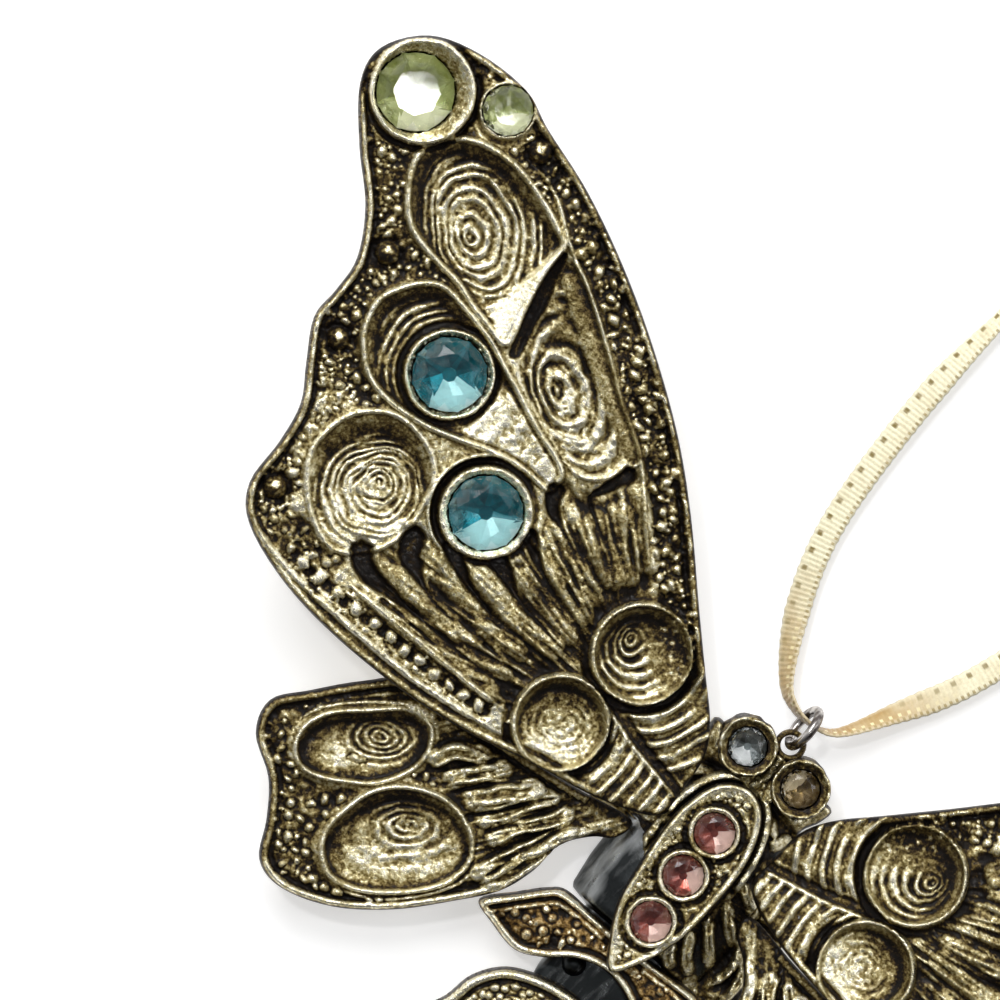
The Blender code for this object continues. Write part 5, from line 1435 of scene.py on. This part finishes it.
def sort_rim(shape, shell):
    """Puts the rim's faces, which follow the shell's in an order that varies, in order round the bowl."""
    def place(face):
        x, y, _ = face.calc_center_median()
        return face.index if face.index < shell else shell + math.pi + math.atan2(y, x)

    shape.faces.index_update()
    shape.faces.sort(key=place)


def corners(radius, height, count, offset=0.0):
    turn = 2 * math.pi * (np.arange(count) + offset) / count
    return [(radius * math.cos(a), radius * math.sin(a), height) for a in turn]


GEM_SIDES, TABLE_SHARE = 8, 0.6


def gem(node, radius, place, plane, kind, deep, turned_by, seed, painted_shine, dim=0.1):
    """A cut stone over tinted foil, whose facets are painted lit toward a side of the picture: 0 its right,
    90 its top.
    """
    name, sides = node + "_cut", GEM_SIDES
    height = 0.46 * radius + 0.35
    belt = 0.42
    shoulder = (TABLE_SHARE + 1.0) / 2
    star = belt + 0.66 * (height - belt)
    crown = corners(TABLE_SHARE * radius, height, sides, 0.5) + corners(shoulder * radius, star, sides)
    crown += corners(radius, belt, 2 * sides)
    mains = corners(0.52 * radius, belt - 0.1 - 0.55 * deep, sides, 0.5)
    culet = corners(0.2 * radius, belt - 0.1 - deep, sides, 0.5)
    body = crown + corners(radius, belt - 0.1, 2 * sides) + mains + culet
    clear, backing = GLASSES[kind]
    move = plane @ Matrix.Translation((place[0] * MM, place[1] * MM, 0)) @ Matrix.Rotation(turned_by, 4, "Z")
    glass_mesh = hull(name, body)
    glass_mesh.transform(move)
    add(name, glass_mesh, clear, "butterfly", node=node)
    rng = np.random.default_rng(seed)
    wall = [(1.02 * x, 1.02 * y, z) for x, y, z in corners(radius, belt - 0.12, sides) + mains]
    behind = hull(name + "_foil", wall + corners(0.2 * radius, belt - 0.14 - deep, sides, 0.5))
    bowl = bmesh.new()
    bowl.from_mesh(behind)
    bmesh.ops.delete(bowl, geom=[f for f in bowl.faces if f.normal.z > 0.9], context="FACES_ONLY")
    shell = 2 * len(bowl.faces)
    bmesh.ops.solidify(bowl, geom=bowl.faces, thickness=-0.05 * MM)
    bmesh.ops.recalc_face_normals(bowl, faces=bowl.faces)
    sort_rim(bowl, shell)
    bowl.to_mesh(behind)
    bowl.free()
    behind.transform(move)
    # Painted light on the foil: facets on the lit side are painted bright, those beyond the middle painted
    # dark, and the inner ones darker still by dim.
    middle = move.translation
    a = math.radians(painted_shine)
    lit = Vector(VIEW_RIGHT) * math.cos(a) + Vector(VIEW_UP) * math.sin(a)
    tones = []
    for face in behind.polygons:
        out = (face.center - middle).xy
        inner = math.hypot(*out) < 0.45 * radius * MM
        toward = out.dot(lit) / max(out.length, 1e-9)
        tones.append(0.16 + (0.92 if toward > 0.62 else 0.34 if toward > 0.0 else 0.0) - dim * inner
                     + rng.uniform(-0.12, 0.12))
    give(behind, "painted_facet_light", np.clip(tones, 0, 1), "FACE")
    add(name + "_foil", behind, backing, "butterfly")


# Castings
BODY_WIDTHS = [(5.9, 4.5), (3.0, 6.4), (0.0, 6.9), (-3.0, 6.95), (-6.0, 6.9), (-9.0, 6.5)]
BODY_HEIGHT, WIDEST = 4.0, 6.95
DRESS_OUTLINE = [
    (0.0, 6.6), (3.2, 6.8), (4.0, 7.2), (5.1, 9.0), (6.1, 8.9), (5.9, 7.6), (5.2, 6.2), (5.4, 5.0),
    (6.0, 4.0), (6.6, 2.6), (7.2, 0.3), (9.6, -1.2), (9.8, -3.4), (9.0, -4.4), (9.7, -7.0), (9.9, -9.4),
    (8.2, -10.6), (6.3, -9.9), (5.0, -9.7), (3.4, -9.6), (1.5, -8.6), (-0.4, -6.4), (-2.8, -5.2),
    (-3.9, -3.6), (-4.5, -2.6), (-5.9, -2.0), (-7.4, -2.3), (-9.8, -3.2), (-9.6, -1.2), (-7.2, 0.3),
    (-6.6, 2.6), (-6.0, 4.0), (-5.4, 5.0), (-5.2, 6.2), (-5.9, 7.6), (-6.1, 8.9), (-5.1, 9.0),
    (-4.0, 7.2), (-3.2, 6.8),
]
DRESS_RIBS = [
    [(3.9, 3.6), (4.6, 4.4), (4.9, 5.0)], [(-3.2, 5.3), (-4.2, 4.8), (-5.2, 3.9)],
    [(1.2, 5.9), (2.6, 5.3), (3.6, 4.4)], [(3.9, -0.2), (5.0, -0.7), (6.6, -1.7)],
    [(3.8, -1.9), (4.8, -3.0), (6.6, -4.3)], [(3.6, -3.8), (4.6, -5.2), (6.2, -7.0)],
    [(3.2, -5.7), (3.9, -7.1), (5.2, -8.6)], [(2.5, -7.4), (3.0, -8.3), (3.6, -8.9)],
    [(-4.2, 2.4), (-5.0, 1.4), (-6.6, 0.6)], [(-4.1, 0.4), (-5.2, -0.4), (-6.6, -0.6)],
    [(6.8, -3.4), (7.6, -5.4), (7.4, -8.0)], [(7.6, -3.9), (8.8, -6.4), (8.9, -9.0)],
]


def flat_plane(height):
    return Matrix.Translation((0, 0, height * MM))


def both_wings(kind, relief, lift, tilt):
    left = casting(relief, kind + "_left_casting", wing_matrix(lift, tilt, 1))
    right = mirrored(left, kind + "_right_casting")
    add(left.name, left, GOLD, "butterfly", node=kind + "_left")
    add(right.name, right, GOLD, "butterfly", node=kind + "_right")


def dress_relief():
    """The gold cast round the plaque, which covers the backbone but for its lower left."""
    r = Relief(smooth(DRESS_OUTLINE), 0.11, BODY_HEIGHT)
    ys, halves = zip(*sorted(BODY_WIDTHS))
    half = np.interp(r.Y, ys, halves)
    dome = BODY_HEIGHT * half / WIDEST * np.sqrt(np.clip(1 - (r.X / half) ** 2, 0.05, 1))
    r.ground = np.maximum(dome, 2.4 * ramp(r.Y, 5.2, 6.4))
    r.base = 0.12
    r.h = r.ground + r.base
    r.rough(0.1, seed=100)
    from_plaque = r.signed(smooth(PLAQUE_OUTLINE, 4), 4.0)
    away = np.maximum(-from_plaque, 0)
    r.cords(DRESS_RIBS, (0.9, 1.3), (0.5, 0.8), (-0.25, 0.25), 101)
    turn = np.arctan2(r.Y + 2.0, 0.5 * r.X)
    r.streaks(ramp(away, 0.2, 0.6), away, 5.0 * turn, 0.34, 0.14, 102)
    r.h += ramp(away, 0.1, 0.5) * (0.09 * r.noise(0.55, 103) + 0.06 * r.noise(0.3, 104))
    # A broken ledge fills the cleft between the plaque and the wing roots.
    ledge = near(away - 0.5, 0.2, 0.6) * ramp(r.Y, -6.5, -4.0)
    broken = ramp(r.noise(1.5, 106) + 0.3 * r.noise(0.5, 107), -0.45, 0.2)
    r.h = np.maximum(r.h, ledge * (3.7 + 0.75 * broken + 0.16 * r.noise(0.9, 105)))
    r.darkening_and_painted_light += 0.18 * ledge * (1 - broken)
    r.h = np.where(from_plaque > -0.12, np.minimum(r.h, PLAQUE_LOW - 0.12), r.h)
    # It stays under the wing roots.
    under = np.abs(r.X) > np.interp(r.Y, (-4.0, -0.2, 3.0, 6.0), (9.0, 4.62, 4.5, 4.85))
    r.h = np.where(under & (r.Y > -1.2), np.minimum(r.h, FOREWING_LIFT + 0.4), r.h)
    under = np.abs(r.X) > np.interp(r.Y, (-9.0, -5.0, -3.6, -1.7, 0.0), (9.0, 7.6, 6.1, 6.1, 6.1))
    r.h = np.where(under, np.minimum(r.h, HINDWING_LIFT + 0.45), r.h)
    r.darkening_and_painted_light += 0.1
    r.roll_edge(0.55, 0.5)
    return r


def make_castings():
    both_wings("forewing", forewing_relief(), FOREWING_LIFT, FOREWING_TILT)
    both_wings("hindwing", hindwing_relief(), HINDWING_LIFT, HINDWING_TILT)
    pieces = [("thorax_plaque", plaque_relief(), PLAQUE_LOW), ("tail_collar", collar_relief(), TAIL_LOW)]
    pieces += [(f"tail_bell_{i + 1}", bell_relief(top, size, 95 + i), TAIL_LOW)
               for i, (top, size) in enumerate(BELLS)]
    for name, relief, low in pieces:
        mesh = casting(relief, name + "_casting", flat_plane(low))
        gold = AMBER if name == "tail_collar" else GOLD
        add(mesh.name, mesh, gold, "butterfly", node=name)
    dress = casting(dress_relief(), "body_dress", flat_plane(0.0), back=0.4)
    add(dress.name, dress, GOLD, "butterfly")


SOLDER_DROP = [
    (0.0, 1.05), (0.35, 1.0), (0.62, 0.82), (0.8, 0.5), (0.86, 0.2), (1.0, 0.0), (0.9, -0.12),
    (0.0, -0.12),
]
SPINE = [(-9.4, 4.6, 1.5), (-15.5, 4.6, 1.5), (-25.3, 2.76, 1.5), (-36.1, 1.38, 1.5)]


def make_body():
    """The backbone: a half spindle of bare cast metal that narrows to the spine."""
    sections = [(y, half, BODY_HEIGHT * half / WIDEST, 2.0) for y, half in BODY_WIDTHS[:-1]]
    sections += [(-8.7, 6.55, 3.77, 2.0), (-9.0, 6.3, 3.5, 2.2)]
    sections += [(y, half, high, 5.0) for y, half, high in SPINE]
    known = np.array(sections)
    ys = np.concatenate([[5.9, 5.85, 5.7, 5.5], np.arange(5.2, -9.0, -0.3), np.arange(-9.0, -9.5, -0.08),
                         np.arange(-9.6, -36.0, -0.5), [-36.0, -36.1]])
    order = np.argsort(known[:, 0])
    half, high, power = (np.interp(ys, known[order, 0], known[order, k]) for k in (1, 2, 3))
    ends = np.ones(len(ys))
    ends[:4], ends[-2:] = (0.86, 0.93, 0.975, 0.995), (0.95, 0.8)
    around = 48
    phi = np.linspace(0, math.pi, around)
    rows = []
    for y, w, h, n, end in zip(ys, half, high, power, ends):
        x = np.sign(np.cos(phi)) * np.abs(np.cos(phi)) ** (2 / n) * w * end
        z = np.abs(np.sin(phi)) ** (2 / n) * h * end
        z = z * (1 + 0.018 * noise(x, np.full(around, y), 1.9, 33))
        rows.append(np.stack([x, np.full(around, y), z], 1))
    points = np.concatenate(rows)
    points = np.vstack([points, (0, ys[0], 1.0), (0, ys[-1], 0.6)])
    mesh = mesh_from("backbone", points * MM, sleeve(len(ys), around), lids(len(ys), around))
    mesh.set_sharp_from_angle(angle=math.radians(50))
    add("backbone", mesh, SILVER, "butterfly", node="body_core")
    drop = lathe("solder_drop", SOLDER_DROP[::-1], 24, (-2.4, -13.7, 1.5))
    add("solder_drop", drop, SILVER, "butterfly")


EYE_CENTRE = (2.72, 8.75)
EYE_CUP_RADIUS, EYE_CUP_FLARE, EYE_CUP_TOP, EYE_STONE = 2.4, 0.15, 5.0, 1.55
HANGER_Y, HANGER_Z, HANGER_RADIUS, HANGER_HOLE, HANGER_THICK = 11.0, 2.25, 1.3, 0.8, 1.0
BRIDGE = [(-1.8, 6.2), (1.8, 6.2), (1.3, 9.4), (0.7, 9.9), (-0.7, 9.9), (-1.3, 9.4)]
BRIDGE_TOP = 3.2


def make_head():
    foot, top, out = EYE_CUP_RADIUS + EYE_CUP_FLARE, EYE_CUP_TOP, EYE_CUP_RADIUS
    inner = EYE_STONE + 0.1
    profile = [
        (0.0, 0.0), (foot - 0.25, 0.0), (foot - 0.05, 0.1), (foot, 0.3), (out + 0.1, 1.4),
        (out - 0.02, 2.6), (out - 0.22, 2.9), (out - 0.22, 3.15), (out - 0.02, 3.45), (out, 4.3),
        (out - 0.05, 4.7), (out - 0.1, 4.9), (out - 0.2, 4.84), (inner + 0.36, 4.6),
        (inner + 0.1, 4.42), (inner + 0.02, 4.46), (inner, 4.2), (inner, top - 1.6),
        (0.0, top - 1.6),
    ]
    for side, name in ((-1, "eye_cup_left"), (1, "eye_cup_right")):
        cup = lathe(name, spaced(profile, 0.1), 110)
        place = points_of(cup)
        away = np.maximum(np.hypot(place[:, 0], place[:, 1]), 1e-6)
        shell = ramp(away, inner, inner + 0.2)
        lump = 0.11 * noise(place[:, 0] + 9 * side, place[:, 1], 0.9, 61)
        lump += 0.09 * noise(place[:, 0] + place[:, 2], place[:, 1] - place[:, 2], 0.4, 62)
        place[:, :2] *= (1 + shell * np.minimum(lump, 0.04) / away)[:, None]
        place[:, 2] += shell * ramp(place[:, 2], 0.5, 3.0) * np.minimum(1.3 * lump, 0.06)
        dark = 0.8 - 0.22 * ramp(place[:, 2], 3.4, 4.4)
        dark -= 0.5 * ramp(away, out - 0.34, out - 0.14) * ramp(place[:, 2], 4.6, 4.85)
        dark += 0.22 * noise(place[:, 0] + 5 * side, place[:, 1], 0.5, 63)
        dark += 0.2 * ((away < inner + 0.12) & (away > inner - 0.05))
        cup.vertices.foreach_set("co", (place * MM).astype(np.float32).ravel())
        give(cup, "patina_and_painted_light", np.clip(dark, 0, 1))
        cup.transform(Matrix.Translation((side * EYE_CENTRE[0] * MM, EYE_CENTRE[1] * MM, 0)))
        add(name, cup, GOLD, "butterfly")
    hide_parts("head")
    bridge = Relief(smooth(BRIDGE, 3), 0.08, BRIDGE_TOP)
    bridge.rough(0.1, seed=60)
    bridge.ridge([(-0.3, 6.6), (0.1, 8.0), (0.0, 9.6)], 0.7, 0.4)
    bridge.nuggets(bridge.edge > 0.3, 0.8, 0.32, seed=64, gaps=0.3, rise=0.6)
    bridge.darkening_and_painted_light += 0.15
    bridge.roll_edge(0.3, 0.3)
    mesh = casting(bridge, "head_bridge", flat_plane(0.0))
    add("head_bridge", mesh, GOLD, "butterfly")
    turn = np.linspace(0, 2 * math.pi, 20)
    middle, half_r = (HANGER_RADIUS + HANGER_HOLE) / 2, (HANGER_RADIUS - HANGER_HOLE) / 2
    loop = [(middle + half_r * math.cos(a), -HANGER_THICK / 2 * math.sin(a)) for a in turn]
    eye = lathe("hanger_eye", loop, 48, (0, HANGER_Y, HANGER_Z), closed=True)
    give(eye, "patina_and_painted_light", np.full(len(eye.vertices), 0.62))
    add("hanger_eye", eye, GOLD, "butterfly")


RING_RADIUS, RING_WIRE, RING_LEAN, RING_Y = 1.75, 0.4, 15.0, 12.75
RING_GAP = 3.0          # degrees of the seam where the ring was closed


def make_ring():
    pivot = HANGER_Y + (HANGER_HOLE + HANGER_RADIUS) / 2
    steps = 73
    turn = np.radians(np.linspace(205 + RING_GAP / 2, 565 - RING_GAP / 2, steps))
    ahead = RING_Y - pivot + RING_RADIUS * np.cos(turn)
    line = np.stack([np.zeros(steps), ahead, RING_RADIUS * np.sin(turn)], 1)
    ring = tube("ring_wire", line, RING_WIRE, sides=20)
    lean = Matrix.Rotation(math.radians(RING_LEAN), 4, "Y")
    ring.transform(Matrix.Translation((0, pivot * MM, HANGER_Z * MM)) @ lean)
    add("ring_wire", ring, STEEL, "hanger", node="jump_ring")


def make_stones():
    # Each stone's foil is painted lit toward a side of the picture, given in degrees.
    seat = STONE_SEAT + STONE_LIFT
    spots = [("tip_stone", TIP_STONE, TIP_STONE_AT, "pale_green_stone", 0.75),
             ("small_stone", SMALL_STONE, SMALL_STONE_AT, "pale_green_stone", 0.6),
             ("upper_blue_stone", BLUE_STONE, BLUE_STONES_AT[0], "aqua_stone", 0.75),
             ("lower_blue_stone", BLUE_STONE, BLUE_STONES_AT[1], "aqua_stone", 0.75)]
    for k, (name, radius, (x, y), kind, deep) in enumerate(spots):
        for side, word in ((1, "left"), (-1, "right")):
            plane = wing_matrix(FOREWING_LIFT, FOREWING_TILT, side) @ flat_plane(seat)
            gem(f"{name}_{word}", radius, (side * x, y), plane, kind, deep, 0.35 * k + 0.2 * side,
                10 * k + side + 1, painted_shine=-80.0)
    for i, place in enumerate(PLAQUE_STONES):
        plane = flat_plane(PLAQUE_LOW + PLAQUE_THICK - PLAQUE_SEAT + STONE_LIFT)
        gem(f"thorax_stone_{i + 1}", PINK_STONE, place, plane, "rose_stone", 0.35, 0.3 * i, 60 + i,
            painted_shine=(-35.0, -15.0, -65.0)[i], dim=0.5)
    for side, word, kind, painted_shine in ((-1, "left", "clear_stone", -120.0), (1, "right", "smoky_stone", 125.0)):
        plane = flat_plane(EYE_CUP_TOP - EYE_SEAT + STONE_LIFT)
        gem(f"eye_stone_{word}", EYE_STONE, (side * EYE_CENTRE[0], EYE_CENTRE[1]), plane, kind, 0.5, 0.1,
            70 + side, painted_shine=painted_shine)


make_castings()
make_body()
make_head()
make_ring()
make_stones()


# Room
def make_floor():
    """A pale floor that shows as white and still takes the ornament's shadow."""
    s = Shader("pale_floor")
    grey = s.mix(s.spread(s.noise(3.0, 3.0), 0.3, 0.7), (0.80, 0.80, 0.80), (0.83, 0.83, 0.83))
    base = s.put("BsdfDiffuse", {"Color": grey})
    glow = s.put("Emission", {"Color": (1, 1, 1, 1), "Strength": FLOOR_GLOW})
    path = s.put("LightPath").outputs
    seen = s.math("MAXIMUM", s.math("MAXIMUM", path["Is Camera Ray"], path["Is Glossy Ray"]),
                  path["Is Transmission Ray"])
    none = s.put("Emission", {"Color": (0, 0, 0, 1), "Strength": 0.0})
    lit = s.put("MixShader", {0: seen, 1: none.outputs[0], 2: glow.outputs[0]})
    both = s.put("AddShader", {0: base.outputs[0], 1: lit.outputs[0]})
    s.put("OutputMaterial", {0: both.outputs[0]})
    half = FLOOR_WIDTH / 2
    mesh = bpy.data.meshes.new("floor")
    corner_points = [(-half, -half, 0), (half, -half, 0), (half, half, 0), (-half, half, 0)]
    mesh.from_pydata(corner_points, [], [(0, 1, 2, 3)])
    mesh.materials.append(s.owner)
    floor = bpy.data.objects.new("floor", mesh)
    floor.location.z = -FLOOR_GAP
    bpy.context.scene.collection.objects.link(floor)


def make_world():
    """A pale room, brighter beyond the picture's top, so that the metal has something to mirror."""
    s = Shader("room", bpy.data.worlds)
    bpy.context.scene.world = s.owner
    toward = s.places["Generated"]
    height = s.put("SeparateXYZ", {0: toward}).outputs["Z"]
    to_top = s.put("VectorMath", {0: toward, 1: (*VIEW_UP, 0.0)}, operation="DOT_PRODUCT").outputs["Value"]
    tone = s.tones(height, [(at, (grey, grey, grey * 1.01)) for at, grey in ROOM_TONES])
    light = s.put("Background", {"Color": tone, "Strength": s.spread(to_top, -0.6, 0.6, *ROOM_SIDES)})
    s.put("OutputWorld", {0: light.outputs[0]})


def softbox(name, azimuth, elevation, distance, width, height, power):
    """An area lamp at a distance in metres. Azimuth 0 is above the picture, and 90 to its right."""
    turn = math.atan2(VIEW_UP[1], VIEW_UP[0]) - math.radians(azimuth)
    rise = math.radians(elevation)
    toward = Vector((math.cos(turn) * math.cos(rise), math.sin(turn) * math.cos(rise), math.sin(rise)))
    aim_lamp(name, toward, distance, width, height, power)


def aim_lamp(name, toward, distance, width, height, power):
    """An area lamp that shines on the ornament from one direction, with its sizes in metres."""
    data = bpy.data.lights.new(name, "AREA")
    data.shape = "RECTANGLE"
    data.size, data.size_y, data.energy = width, height, power
    lamp = bpy.data.objects.new(name, data)
    aim = Vector((VIEW_CENTRE[0], VIEW_CENTRE[1], 0)) * MM
    lamp.location = aim + toward.normalized() * distance
    lamp.rotation_mode = "QUATERNION"
    lamp.rotation_quaternion = toward.to_track_quat("Z", "Y")
    bpy.context.scene.collection.objects.link(lamp)


make_floor()
make_world()
softbox("key", -10, 47, 0.7, 0.34, 0.30, 2.3)
softbox("side", 80, 42, 0.7, 0.16, 0.40, 0.6)
softbox("spark", -35, 66, 0.7, 0.05, 0.05, 0.8)
# The flat table of the left tip stone mirrors this one into the camera.
aim_lamp("overhead", Vector((0.181, 0.05, 0.982)), 1.2, 0.06, 0.06, 0.45)
bpy.context.scene.view_settings.view_transform = "Standard"
